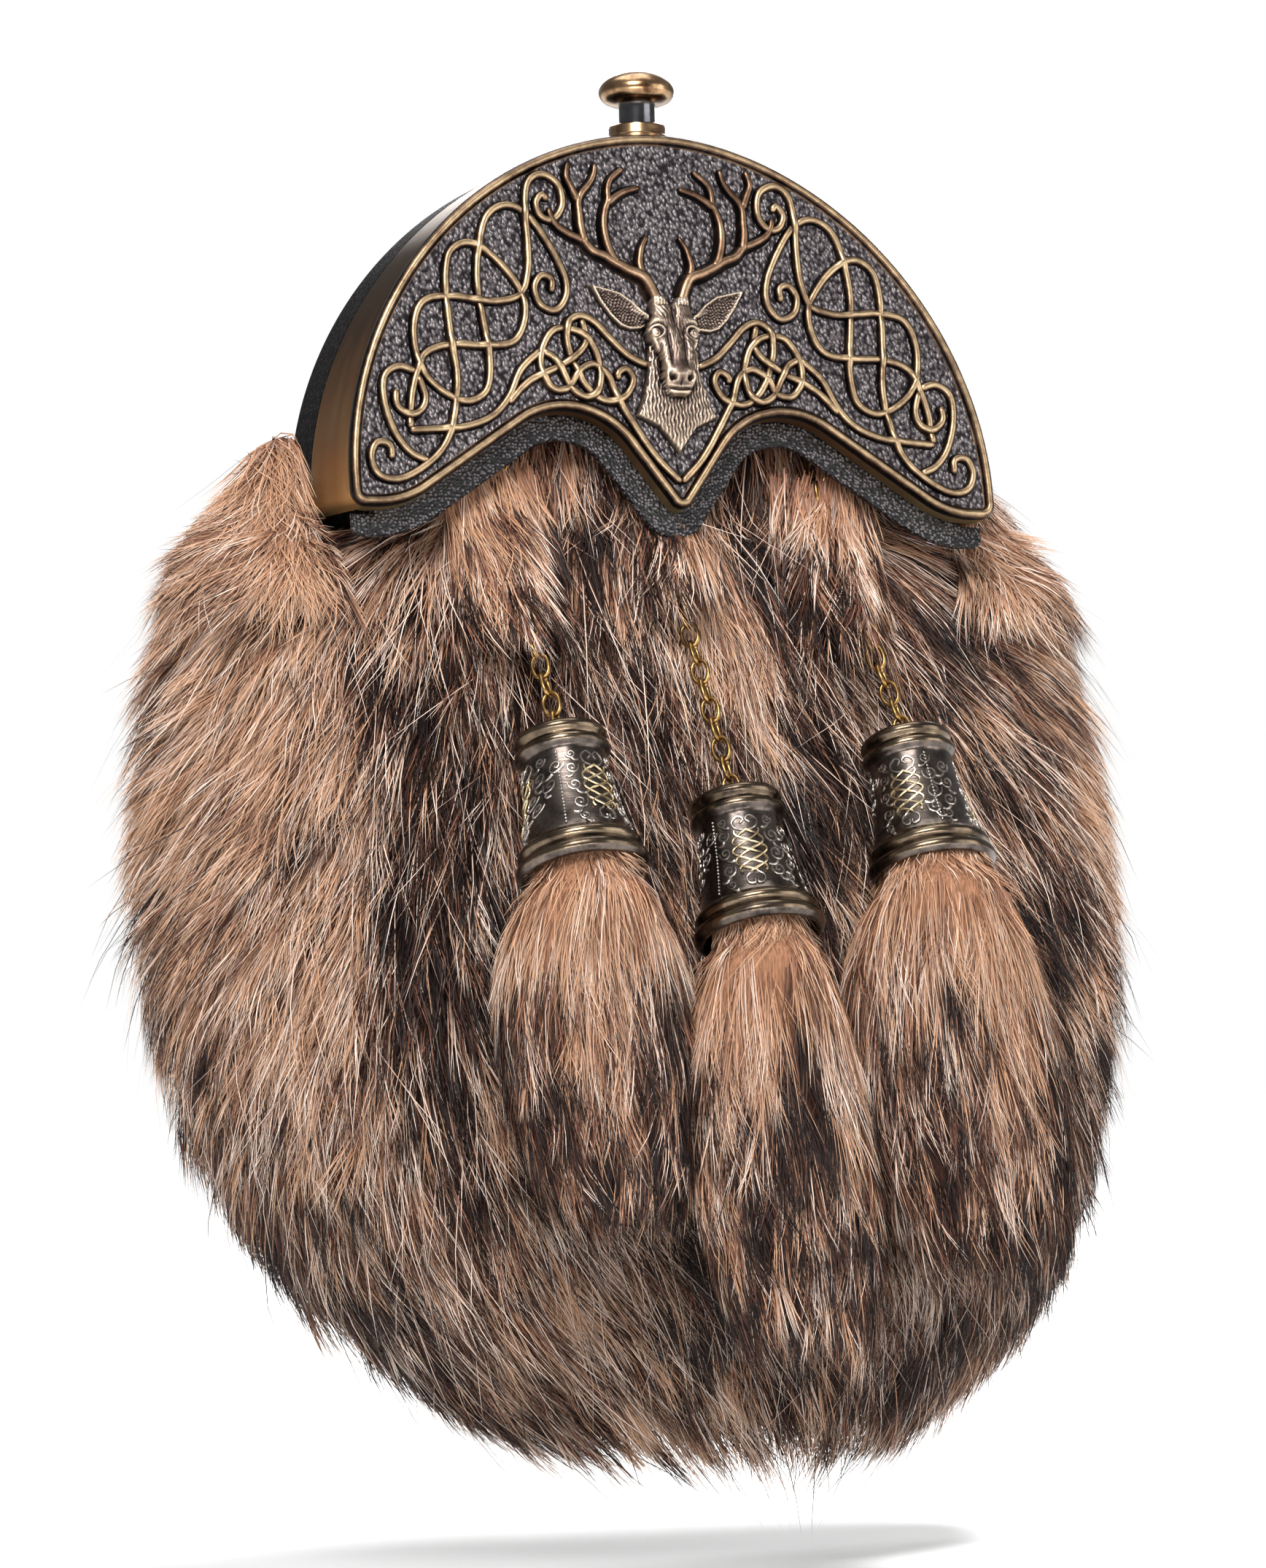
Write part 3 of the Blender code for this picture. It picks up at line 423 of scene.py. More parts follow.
@dataclass(frozen=True)
class FeltFinish:
    """Dense underwool at the hide, in the colour of the hair over it.

    Its fine streaks fill the depth between the strands, so the fur reads as soft and closed.
    """

    name: str = "dense_underwool"
    roughness: float = 0.9
    gloss: float = 0.1
    streak_mm: float = 0.35
    stretch: float = 0.12
    relief_mm: float = 0.5

    def make(self) -> Material:
        """Build the material.

        Returns:
            The material.
        """
        skin = Surfacing(self.name, self.roughness)
        wool = skin.add("VertexColor", {"layer_name": "strand"})
        drawn = skin.add("Mapping", {"Scale": (1.0, 1.0, self.stretch), "Vector": skin.place})
        streak = skin.add("TexNoise", {"Scale": 1.0 / (self.streak_mm * MM), "Detail": 3.0,
                                       "Vector": drawn["Vector"]})
        shade = skin.add("MapRange", {"From Min": 0.3, "From Max": 0.7, "To Min": 0.45, "To Max": 1.15,
                                      "Value": streak["Fac"]})
        colour = skin.add("VectorMath", {"operation": "SCALE", 0: wool["Color"],
                                         "Scale": shade["Result"]})
        return skin.cover(colour["Vector"], {"Specular IOR Level": self.gloss}, streak["Fac"],
                          self.relief_mm)


@dataclass(frozen=True)
class StageFinish:
    """Matt grey paper of the studio floor, lit until it is white, which only takes a soft shadow."""

    name: str = "matt_grey_paper"
    colour: str = "#a4a4a4"
    roughness: float = 0.9

    def make(self) -> Material:
        """Build the material."""
        return Surfacing(self.name, self.roughness).cover(linear(self.colour))


@dataclass
class Coat:
    """A grid of points over a form that fur grows on, with its own sense of down and across."""

    points: Array
    wrap: bool = False
    normals: Array = field(init=False)
    across: Array = field(init=False)
    down: Array = field(init=False)

    def __post_init__(self) -> None:
        """Work out normals and the lengths of the grid's steps."""
        right = np.gradient(self.points, axis=1)
        if self.wrap:
            padded = np.concatenate((self.points[:, -2:-1], self.points, self.points[:, 1:2]), axis=1)
            right = (padded[:, 2:] - padded[:, :-2]) / 2
        fall = np.gradient(self.points, axis=0)
        self.normals = unit(np.cross(fall, right))
        self.across = np.linalg.norm(right, axis=-1)
        self.down = np.linalg.norm(fall, axis=-1)

    def read(self, table: Array, u: Array, v: Array) -> Array:
        """Read a table of the grid between its points.

        Args:
            table: values at the grid's points.
            u: places across, in grid steps.
            v: places down, in grid steps.

        Returns:
            The values there, level beyond the grid's edges.
        """
        high, wide = table.shape[:2]
        if self.wrap:
            u = np.mod(u, wide - 1.0)
        u = np.clip(u, 0.0, wide - 1.0001)
        v = np.clip(v, 0.0, high - 1.0001)
        i, j = v.astype(int), u.astype(int)
        s, t = v - i, u - j
        if table.ndim == 3:
            s, t = s[..., None], t[..., None]
        return ((table[i, j] * (1 - t) + table[i, j + 1] * t) * (1 - s)
                + (table[i + 1, j] * (1 - t) + table[i + 1, j + 1] * t) * s)

    def at(self, u: Array, v: Array) -> Array:
        """Points of the form at places across and down."""
        return self.read(self.points, u, v)

    def facing(self, u: Array, v: Array) -> Array:
        """Unit normals of the form at places across and down."""
        return unit(self.read(self.normals, u, v))

    def thinned(self, every: int) -> "Coat":
        """Leave out grid points.

        Args:
            every: which point is kept, with the grid's edges.

        Returns:
            A coarser coat.
        """
        high, wide = self.points.shape[:2]
        rows = np.unique(np.append(np.arange(0, high, every), high - 1))
        columns = np.unique(np.append(np.arange(0, wide, every), wide - 1))
        return Coat(self.points[np.ix_(rows, columns)], wrap=self.wrap)


class Strand(Enum):
    """Sorts of strand from the darkest to the lightest, with their root, middle and tip colours."""

    # Most roots are darker than their middles: partly the fur's own dark undercolour, partly painted shade
    # deep between the tufts
    BLACK = ("#1a0f0c", "#170c0a", "#0d0705")
    DARK = ("#2f1c16", "#3f261d", "#2a1711")
    BROWN = ("#5c3c2d", "#815846", "#644234")
    TAN = ("#7b503b", "#b58a6b", "#caa98f")
    CREAM = ("#7a5849", "#d2b6a4", "#f2e3d8")


# Share of each sort of strand, from black to cream, at each step of darkness
SORT_STEPS = (0.0, 0.25, 0.5, 0.75, 1.0)
SORT_SHARES = (
    (0, 0, 0.05, 0.86, 0.09), (0.02, 0.1, 0.22, 0.42, 0.24), (0.19, 0.27, 0.23, 0.15, 0.16),
    (0.46, 0.3, 0.11, 0.06, 0.07), (0.72, 0.2, 0.04, 0.02, 0.02),
)
# Guard hair is cream or tan over pale fur, and black or dark over dark fur
GUARD_SHARES = ((0, 0, 0, 0.15, 0.85),) * 3 + ((0.5, 0.5, 0, 0, 0),) * 2
# How far along a strand its middle colour stands
TINT_STEPS = (0.0, 0.6, 1.0)
# A strand shows between its middle and its tip, so its darkness is read there
COLOUR_SPOT = 0.6
# How locks and single strands depart from their tuft, as shares of its own spread and length
LOCK_SPREAD, STRAND_SPREAD = 0.6, 0.5
LOCK_LENGTHS, STRAND_LENGTHS = (0.75, 1.1), (0.85, 1.05)
LOCK_BEND = 0.1
# Hair of one tuft tends to one sort, and hair of one lock still more so
LOCK_KIN, STRAND_KIN, KIN_SLOPE = 0.58, 0.3, 1.7
# Roots lie less deep behind the cantle: heights, and shares of the depth
ROOT_HEIGHTS, ROOT_SHARES = (-34.0, -8.0), (1.0, 0.25)
# Hair that would pass behind the leather is turned along it
FUR_REAR_Y = 37.0
REAR_SHARE = 0.15


@dataclass(frozen=True)
class Lie:
    """How strands lie: lengths in millimetres, turns in degrees."""

    length: Pair = (15.0, 25.0)
    depth: float = 5.0
    lift: float = 1.6
    width: float = 0.26
    reach: float = 3.0
    gather: float = 0.6
    cling: float = 0.72
    spread: float = 8.0
    steps: int = 3
    stray: float = 0.7
    lock: int = 3
    kin: float = 0.5


@dataclass
class Pelt:
    """Fur combed over a coat: tufts of strands that draw together towards their tips."""

    name: str
    coat: Coat
    shade: Shade
    comb: Field
    tufts: int
    strands: int
    lie: Lie
    seed: int
    within: Field
    shrink: Field = lambda places: np.ones(len(places))
    replaced: str = "fur_coat"
    slot: str = "fur"
    sorts: tuple[tuple[float, ...], ...] = SORT_SHARES

    def grow(self, material: Material) -> None:
        """Make the fur's mesh.

        Args:
            material: what covers the strands.
        """
        rng = np.random.default_rng(SEED + self.seed)
        lie, coat = self.lie, self.coat
        u, v = self.scatter(rng)
        base = coat.at(u, v)
        keep = self.within(base)
        u, v, base = u[keep], v[keep], base[keep]
        angle = np.radians(self.comb(base) + rng.normal(0.0, lie.spread, len(u)))
        long = rng.uniform(*lie.length, len(u)) * self.shrink(base)
        shown = base + np.stack((np.sin(angle), np.zeros(len(u)), -np.cos(angle)), axis=-1) * (
            COLOUR_SPOT * long[:, None])
        dark = np.clip(self.shade(shown, rng), 0.0, 1.0)
        deep = lie.depth * np.interp(base[:, 2], ROOT_HEIGHTS, ROOT_SHARES)
        rise = rng.normal(0.0, 1.0, len(u)) * lie.lift
        tuft = np.repeat(np.arange(len(u)), self.strands)
        count = len(tuft)
        per_tuft = math.ceil(self.strands / lie.lock)
        lock = tuft * per_tuft + np.tile(np.arange(self.strands) // lie.lock, len(u))
        locks = len(u) * per_tuft
        lock_spot = rng.normal(0.0, lie.reach / 2, (locks, 2))[lock]
        fine = rng.normal(0.0, lie.reach / 5, (count, 2))
        spot = lock_spot + fine
        turn = rng.normal(0.0, lie.spread * LOCK_SPREAD, locks)[lock]
        turn = turn + rng.normal(0.0, lie.spread * STRAND_SPREAD, count)
        angle = angle[tuft] + np.radians(turn)
        size = long[tuft] * rng.uniform(*LOCK_LENGTHS, locks)[lock] * rng.uniform(*STRAND_LENGTHS, count)
        bend = rng.normal(0.0, LOCK_BEND, locks)[lock] * size
        taste = (lie.kin * rng.normal(size=len(u))[tuft] + LOCK_KIN * rng.normal(size=locks)[lock]
                 + STRAND_KIN * rng.normal(size=count))
        luck = 1.0 / (1.0 + np.exp(-KIN_SLOPE * taste / math.hypot(lie.kin, LOCK_KIN, STRAND_KIN)))
        draw = lie.gather * np.interp(dark, (0.05, 0.35), (0.35, 1.0))[tuft, None]
        pull = (lock_spot * 0.5 + fine) * draw
        across = coat.read(coat.across, u, v)[tuft]
        down = coat.read(coat.down, u, v)[tuft]
        normal = coat.facing(u, v)[tuft]
        start_u = u[tuft] + spot[:, 0] / across
        start_v = v[tuft] + spot[:, 1] / down
        root = coat.at(start_u, start_v)
        fall = unit(coat.at(start_u, start_v + 1.0) - root)
        right = unit(coat.at(start_u + 1.0, start_v) - coat.at(start_u - 1.0, start_v))
        high = (rise[tuft] + rng.normal(0.0, lie.stray, locks)[lock]
                + rng.normal(0.0, lie.stray * 0.5, count))
        path = []
        for k in range(lie.steps + 1):
            t = k / lie.steps
            side = size * t * np.sin(angle) + bend * t * t - pull[:, 0] * t
            drop = size * t * np.cos(angle) - pull[:, 1] * t * 0.5
            over = (-deep[tuft] * (1 - t) ** 1.5 + high * t)[:, None]
            place = (start_u + side / across, start_v + drop / down)
            hug = coat.at(*place) + coat.facing(*place) * over
            free = root + fall * drop[:, None] + right * side[:, None] + normal * over
            path.append(hug * lie.cling + free * (1 - lie.cling))
        path = np.stack(path, axis=1)
        rear = path[..., 1] - FUR_REAR_Y
        path[..., 1] = np.where(rear > 0.0, FUR_REAR_Y + REAR_SHARE * rear, path[..., 1])
        self.weave(path, normal, dark[tuft], luck, material, rng)

    def scatter(self, rng: Dice) -> tuple[Array, Array]:
        """Spread the tufts evenly by area.

        Args:
            rng: source of the scatter.

        Returns:
            Places across and down the coat's grid.
        """
        area = (self.coat.across * self.coat.down)[:-1, :-1]
        total = np.cumsum(area.ravel())
        marks = (np.arange(self.tufts) + rng.random(self.tufts)) / self.tufts * total[-1]
        cell = np.searchsorted(total, marks)
        high, wide = area.shape
        v, u = np.divmod(np.clip(cell, 0, high * wide - 1), wide)
        return u + rng.random(self.tufts), v + rng.random(self.tufts)

    def weave(self, path: Array, normal: Array, dark: Array, luck: Array,
              material: Material, rng: Dice) -> None:
        """Turn strand paths into tapered ribbons with their own colours.

        Args:
            path: points along each strand.
            normal: the coat's normal at each strand.
            dark: darkness of each strand's tuft, from 0 to 1.
            luck: place of each strand among the sorts, from 0 to 1.
            material: what covers the strands.
            rng: source of their turns and tints.
        """
        count, places = path.shape[:2]
        along = unit(np.gradient(path, axis=1))
        turn = rng.uniform(-1.0, 1.0, count)[:, None, None]
        flat = np.cross(along, normal[:, None])
        flat = unit(flat * np.cos(turn) + normal[:, None] * np.sin(turn))
        taper = np.linspace(0.0, 1.0, places)[:-1]
        half = self.lie.width / 2 * (1.0 - taper ** 2.2) * rng.uniform(0.75, 1.25, count)[:, None]
        reach = flat[:, :-1] * half[..., None]
        sides = np.stack((path[:, :-1] - reach, path[:, :-1] + reach), axis=2)
        per = 2 * places - 1
        points = np.concatenate((sides.reshape(count, per - 1, 3), path[:, -1:]), axis=1)
        corners = [corner for a in range(0, per - 3, 2) for corner in (a, a + 1, a + 3, a + 2)]
        corners += [per - 3, per - 2, per - 1]
        counts = np.tile([4] * (places - 2) + [3], count)
        index = (np.arange(count) * per)[:, None] + np.array(corners)[None]
        piece = add_mesh(self.name, to_world(points.reshape(-1, 3)), counts, index.ravel(),
                         material)
        store_colours(piece, "strand", self.tints(dark, luck, places, rng))
        settle(piece, self.replaced)

    def tints(self, dark: Array, luck: Array, places: int,
              rng: Dice) -> Array:
        """Choose each strand's sort and its colours from root to tip.

        Args:
            dark: darkness of each strand's tuft.
            luck: place of each strand among the sorts.
            places: points along each strand.
            rng: source of the differences between strands.

        Returns:
            A colour for each of the strands' points.
        """
        tints = np.array([[linear(code)[:3] for code in sort.value] for sort in Strand])
        shares = np.array(self.sorts)
        mix = np.stack([np.interp(dark, SORT_STEPS, share) for share in shares.T], axis=-1)
        pick = (np.clip(luck, 0.0, 1.0)[:, None] > np.cumsum(mix, axis=1)).sum(axis=1)
        pick = np.clip(pick, 0, len(tints) - 1)
        t = np.linspace(0.0, 1.0, places)
        ends = np.stack([np.interp(t, TINT_STEPS, row) for row in np.eye(3)], axis=-1)
        colour = np.einsum("pk,skc->spc", ends, tints)[pick]
        vary = np.interp(dark, (0.0, 0.4), (0.07, 0.2))
        colour = colour * (1.0 + rng.uniform(-1.0, 1.0, len(dark)) * vary)[:, None, None]
        return np.concatenate((np.repeat(colour[:, :-1], 2, axis=1), colour[:, -1:]), axis=1)


# Colour of the underwool at each darkness of the fur over it
WOOL_STEPS = (0.0, 0.3, 0.55, 1.0)
WOOL_TINTS = ("#a87a5e", "#80583f", "#4a3127", "#1c1210")


def lay_underwool(name: str, coat: Coat, depth: float, dark: Array, kept: Array,
                  node: str, material: Material) -> None:
    """Underwool below a coat's strands.

    Args:
        name: the piece's name.
        coat: form that it follows.
        depth: distance under the coat.
        dark: darkness at each point of the coat's grid.
        kept: which points of the grid it covers.
        node: CAD node that it stands for.
        material: what covers it.
    """
    inside = coat.points - unit(coat.normals) * depth
    piece, used = add_grid(name, inside, kept[:-1, :-1] & kept[1:, 1:], material)
    store_colours(piece, "strand", blend(dark.ravel()[used], WOOL_STEPS, WOOL_TINTS))
    settle(piece, node)


def oval(places: Array, x: float, z: float, wide: float, high: float, turn: float) -> Array:
    """Squared distance from the middle of a tilted oval, 1 at its edge.

    Args:
        places: points of the working frame.
        x: the middle's place across.
        z: its height.
        wide: half its width.
        high: half its height.
        turn: its tilt in radians.

    Returns:
        The distances.
    """
    dx, dz = places[:, 0] - x, places[:, 2] - z
    across = (dx * math.cos(turn) + dz * math.sin(turn)) / wide
    along = (-dx * math.sin(turn) + dz * math.cos(turn)) / high
    return across ** 2 + along ** 2


@dataclass
class Streaks:
    """Long soft streaks of lighter and darker fur, which lie along the comb."""

    count: int = 900
    width: Pair = (1.2, 3.6)
    length: Pair = (6.0, 17.0)
    weight: float = 0.34
    most: float = 1.2

    def __post_init__(self) -> None:
        """Scatter the streaks."""
        rng = np.random.default_rng(SEED + 90)
        self.centre = rng.uniform((-112.0, -205.0), (112.0, 20.0), (self.count, 2))
        self.size = np.stack((rng.uniform(*self.width, self.count),
                              rng.uniform(*self.length, self.count)), axis=-1)
        self.tilt = np.radians(fur_comb(self.centre[:, (0, 0, 1)]) + rng.normal(0, 6, self.count))
        self.share = rng.choice((-1.0, 1.0), self.count) * rng.uniform(0.4, 1.0, self.count)

    def read(self, places: Array) -> Array:
        """Darkness that the streaks add.

        Args:
            places: points of the working frame.

        Returns:
            What to add at each point.
        """
        added = np.zeros(len(places))
        for centre, size, tilt, share in zip(self.centre, self.size, self.tilt, self.share):
            added += share * np.exp(-oval(places, *centre, *size, tilt))
        return np.clip(added, -self.most, self.most) * self.weight


# Fur rows of the bag: height, centre across, half width and front of the outer form
FUR_ROWS = (
    (19, 0, 59, 13), (8, 0, 60, 11.2), (-1.6, 0, 64, 10.2), (-5, 0.5, 75, 9.8), (-12, 1.5, 86, 8),
    (-24, 1.5, 95.5, 2), (-42, 1.5, 100, -5.5), (-62, 2, 102, -10.5), (-84, 2.5, 102.5, -14.5),
    (-106, 3.5, 99, -16.5), (-128, 6, 92.5, -14.5), (-147, 9.5, 83, -8.5), (-160, 13, 72, -0.5),
    (-172, 15, 58.5, 8), (-182, 17.5, 42.5, 16), (-190, 19.5, 27.5, 22), (-199, 20.5, 15, 26),
)
FUR_BACK_Y = 36.0
FUR_FULLNESS = 2.35
GRID_ACROSS = 160


def bag_coat() -> Coat:
    """The outer form of the fur round the bag.

    Returns:
        Its grid, one row for each millimetre or so of height.
    """
    turn = np.linspace(0.012, math.pi - 0.012, 400)
    across = -np.sign(np.cos(turn)) * np.abs(np.cos(turn)) ** (2 / FUR_FULLNESS)
    out = np.sin(turn) ** (2 / FUR_FULLNESS)
    rows = [resample(np.stack((centre + half * across, FUR_BACK_Y - (FUR_BACK_Y - near) * out,
                               np.full_like(turn, up)), axis=-1), GRID_ACROSS)
            for up, centre, half, near in smooth_curve(FUR_ROWS, 1.2)]
    return Coat(np.array(rows))


# Rows of the fur that stands behind the side band: height, inner and outer edge, front
SHOULDER_ROWS = (
    (16.5, 68.5, 72.5, 31), (15, 68.5, 76.5, 29), (11, 68.4, 80, 27), (5, 68.3, 84.5, 25.4),
    (-2, 68, 89.5, 22), (-8, 67, 94, 16.5), (-14, 66, 97, 10.5), (-24, 64, 100, 7), (-36, 64, 103, 2),
    (-52, 64, 105, -2),
)
# The left and the right shoulder are slimmer than the rows by this much, where they are this wide
SHOULDER_SLIM = {-1.0: 5.0, 1.0: 1.5}
SHOULDER_FULL = 14.0
SHOULDER_ROUND = 0.9


def shoulder_coat(side: float) -> Coat:
    """The outer form of the fur beside the band.

    Args:
        side: -1 for the viewer's left, 1 for the right.

    Returns:
        Its grid.
    """
    turn = np.linspace(0.0, math.pi / 2, 40)
    out, back = np.sin(turn) ** SHOULDER_ROUND, np.cos(turn) ** SHOULDER_ROUND
    rows = []
    for up, inner, outer, near in smooth_curve(SHOULDER_ROWS, 1.0):
        outer -= SHOULDER_SLIM[side] * min(1.0, (outer - inner) / SHOULDER_FULL)
        rows.append(np.stack((side * (inner + (outer - inner) * out),
                              FUR_BACK_Y - (FUR_BACK_Y - near) * back,
                              np.full_like(turn, up)), axis=-1))
    grid = np.array(rows)
    return Coat(grid if side > 0 else grid[:, ::-1])


# A lock that lies over a side chain: height, front along its middle, front at its edges
LOCK_ROWS = (
    (10, 9, 10.5), (2, 7.8, 10), (-8, 1.2, 8.8), (-16, -3.5, 6.2), (-24, -8, 2.6), (-32, -12.5, -1.2),
    (-40, -14, -3.6),
)
LOCK_HALF_WIDTH = 11.0
# Locks over the chains: name, place across, end of their roots
CHAIN_LOCKS = (
    ("fur_over_chain_left", -33.8, -19), ("fur_over_chain_right", 34.4, -19),
    ("fur_over_chain_middle", 0.5, -10),
)


def lock_coat(middle: float) -> Coat:
    """The outer form of a lock that covers the upper part of a side chain.

    Args:
        middle: the chain's place across.

    Returns:
        Its grid.
    """
    turn = np.linspace(-1.0, 1.0, 25)
    rise = np.cos(turn * math.pi / 2) ** 1.3
    rows = [np.stack((middle + LOCK_HALF_WIDTH * turn, edge + (front - edge) * rise,
                      np.full_like(turn, up)), axis=-1)
            for up, front, edge in smooth_curve(LOCK_ROWS, 1.0)]
    return Coat(np.array(rows))


# Patches of the fur's colour: across, up, half width, half height, tilt in degrees, darkness
SHADE_PATCHES = (
    (-73, 0, 8, 28, 0, -0.5), (-90, -14, 9, 12, 20, -0.1), (-95, -2, 6, 14, 25, 0.42),
    (-72, 17, 9, 5, 0, 1.1), (-103, -20, 5, 9, 10, 0.45), (-97, -55, 18, 50, 0, -0.38),
    (-79, -40, 8, 30, 0, -0.22), (-66, -10, 3.5, 13, 5, 0.45), (-63, -32, 4, 6, 0, 0.35),
    (-61, -38, 4, 7, 0, 0.4), (-54, -20, 5, 14, 0, -0.15), (-54, -8, 3, 4, 0, 0.3),
    (-46, -10, 3, 9, 5, 0.5), (-24, 6, 15, 9, 0, -0.32), (-36, -8, 5, 12, 0, -0.12),
    (-18, -10, 5, 10, -25, 0.55), (-26, -30, 8, 10, 0, 0.22), (-52, -66, 8, 30, 0, 0.42),
    (-56, -100, 8, 24, 3, 0.34), (-65, -62, 5, 14, 5, 0.22), (-67, -75, 4, 8, 0, -0.18),
    (-76, -70, 5, 8, -10, 0.25), (-67, -108, 5, 11, 0, 0.25), (-53, -133, 5, 7, 0, 0.32),
    (-37, -94, 4.5, 20, 0, 0.6), (-27, -125, 7, 26, -28, 0.5), (-84, -118, 14, 24, 0, -0.2),
    (-66, -160, 27, 6, -33, 0.3), (-48, -118, 6, 10, 0, -0.12), (-36, -152, 10, 14, 0, -0.22),
    (1, -152, 9, 9, 0, 0.55), (24, -167, 9, 8, 0, 0.5), (5, -171, 11, 8, 0, 0.1),
    (36, -166, 6, 10, 0, -0.22), (57, -160, 12, 14, 20, 0.3), (47, -178, 8, 5, 0, 0.35),
    (81, -146, 10, 9, 0, 0.42), (96, -108, 6, 10, 0, 0.5), (89, -128, 8, 16, 10, 0.32),
    (-10, -184, 34, 9, 0, -0.18), (6, -10, 6, 14, -10, -0.45), (12, -34, 6, 18, -6, -0.42),
    (19, 4, 3.5, 8, 0, 0.55), (15, -10, 4, 6, 0, 0.45), (21, -21, 6, 5, -20, 0.4), (30, -3, 8, 12, 0, -0.2),
    (41, 2, 8, 12, 0, -0.36), (29, -14, 5, 3, 0, 0.25), (27, -45, 5, 22, -5, 0.4), (45, -26, 6, 9, 0, -0.1),
    (54, -21, 4, 5, 0, 0.4), (58, -33, 6, 12, -12, 0.42), (66, -56, 6, 19, -14, 0.46),
    (75, -82, 7, 18, -8, 0.46), (62, -12, 5, 9, -20, 0.22), (79, -5, 8, 22, -12, -0.44),
    (96, -58, 11, 44, -5, -0.3), (-12, -50, 7, 26, 0, 0.34), (20, -72, 8, 20, 0, 0.3),
)
SHADE_BASE = 0.49
SHADE_STRENGTH = 1.12
SHADE_EDGE = 0.9
SHADE_JITTER = 0.15

# Lie of the fur: across, up, degrees from straight down towards the viewer's right
COMB_PLACES = (
    (-100, -10, -40), (-104, -60, -50), (-86, -40, -28), (-86, -85, -28), (-95, -120, -36), (-72, 0, -10),
    (-66, -50, -4), (-66, -110, -2), (-60, -155, 0), (-45, -20, 2), (-40, -120, 12), (-20, -20, 14),
    (-20, -90, 6), (-24, -150, 14), (10, -172, 16), (45, -175, 10), (8, -30, 2), (20, 6, -14),
    (36, -12, -8), (48, 0, 12), (45, -60, 8), (70, -10, 22), (70, -80, 14), (98, -40, 34), (100, -100, 26),
    (70, -150, 14),
)
COMB_REACH = 17.0


def fur_comb(places: Array) -> Array:
    """Lie of the fur over the bag.

    Args:
        places: points of the working frame.

    Returns:
        Degrees from the coat's own way down towards the viewer's right.
    """
    table = np.array(COMB_PLACES)
    gap = places[:, None, ::2] - table[None, :, :2]
    weight = np.exp(-(gap ** 2).sum(axis=-1) / (2 * COMB_REACH ** 2)) + 1e-7
    x, z = places[:, 0], places[:, -1]
    swirl = 5.0 * np.sin(x / 7.5 + 1.7 * np.sin(z / 19.0)) + 4.0 * np.sin(z / 11.0 - x / 23.0)
    return (weight * table[:, 2]).sum(axis=1) / weight.sum(axis=1) + swirl


# Fur that the cantle hides starts above a height and beyond a distance to the side
HIDDEN_ZONES = ((6.0, 50.0), (2.0, 61.0))
# Fur that the shoulders hide starts above this height and behind this depth
SHOULDER_ZONE = (-2.0, 22.0)
# Share of a tassel's spread, and shares of its drop, that hide the coat
TASSEL_HALF, TASSEL_SPAN = 0.66, (-0.1, 0.6)
FUR_FOOT = -179.0
WOOL_SPAN = (-181.0, 5.0)


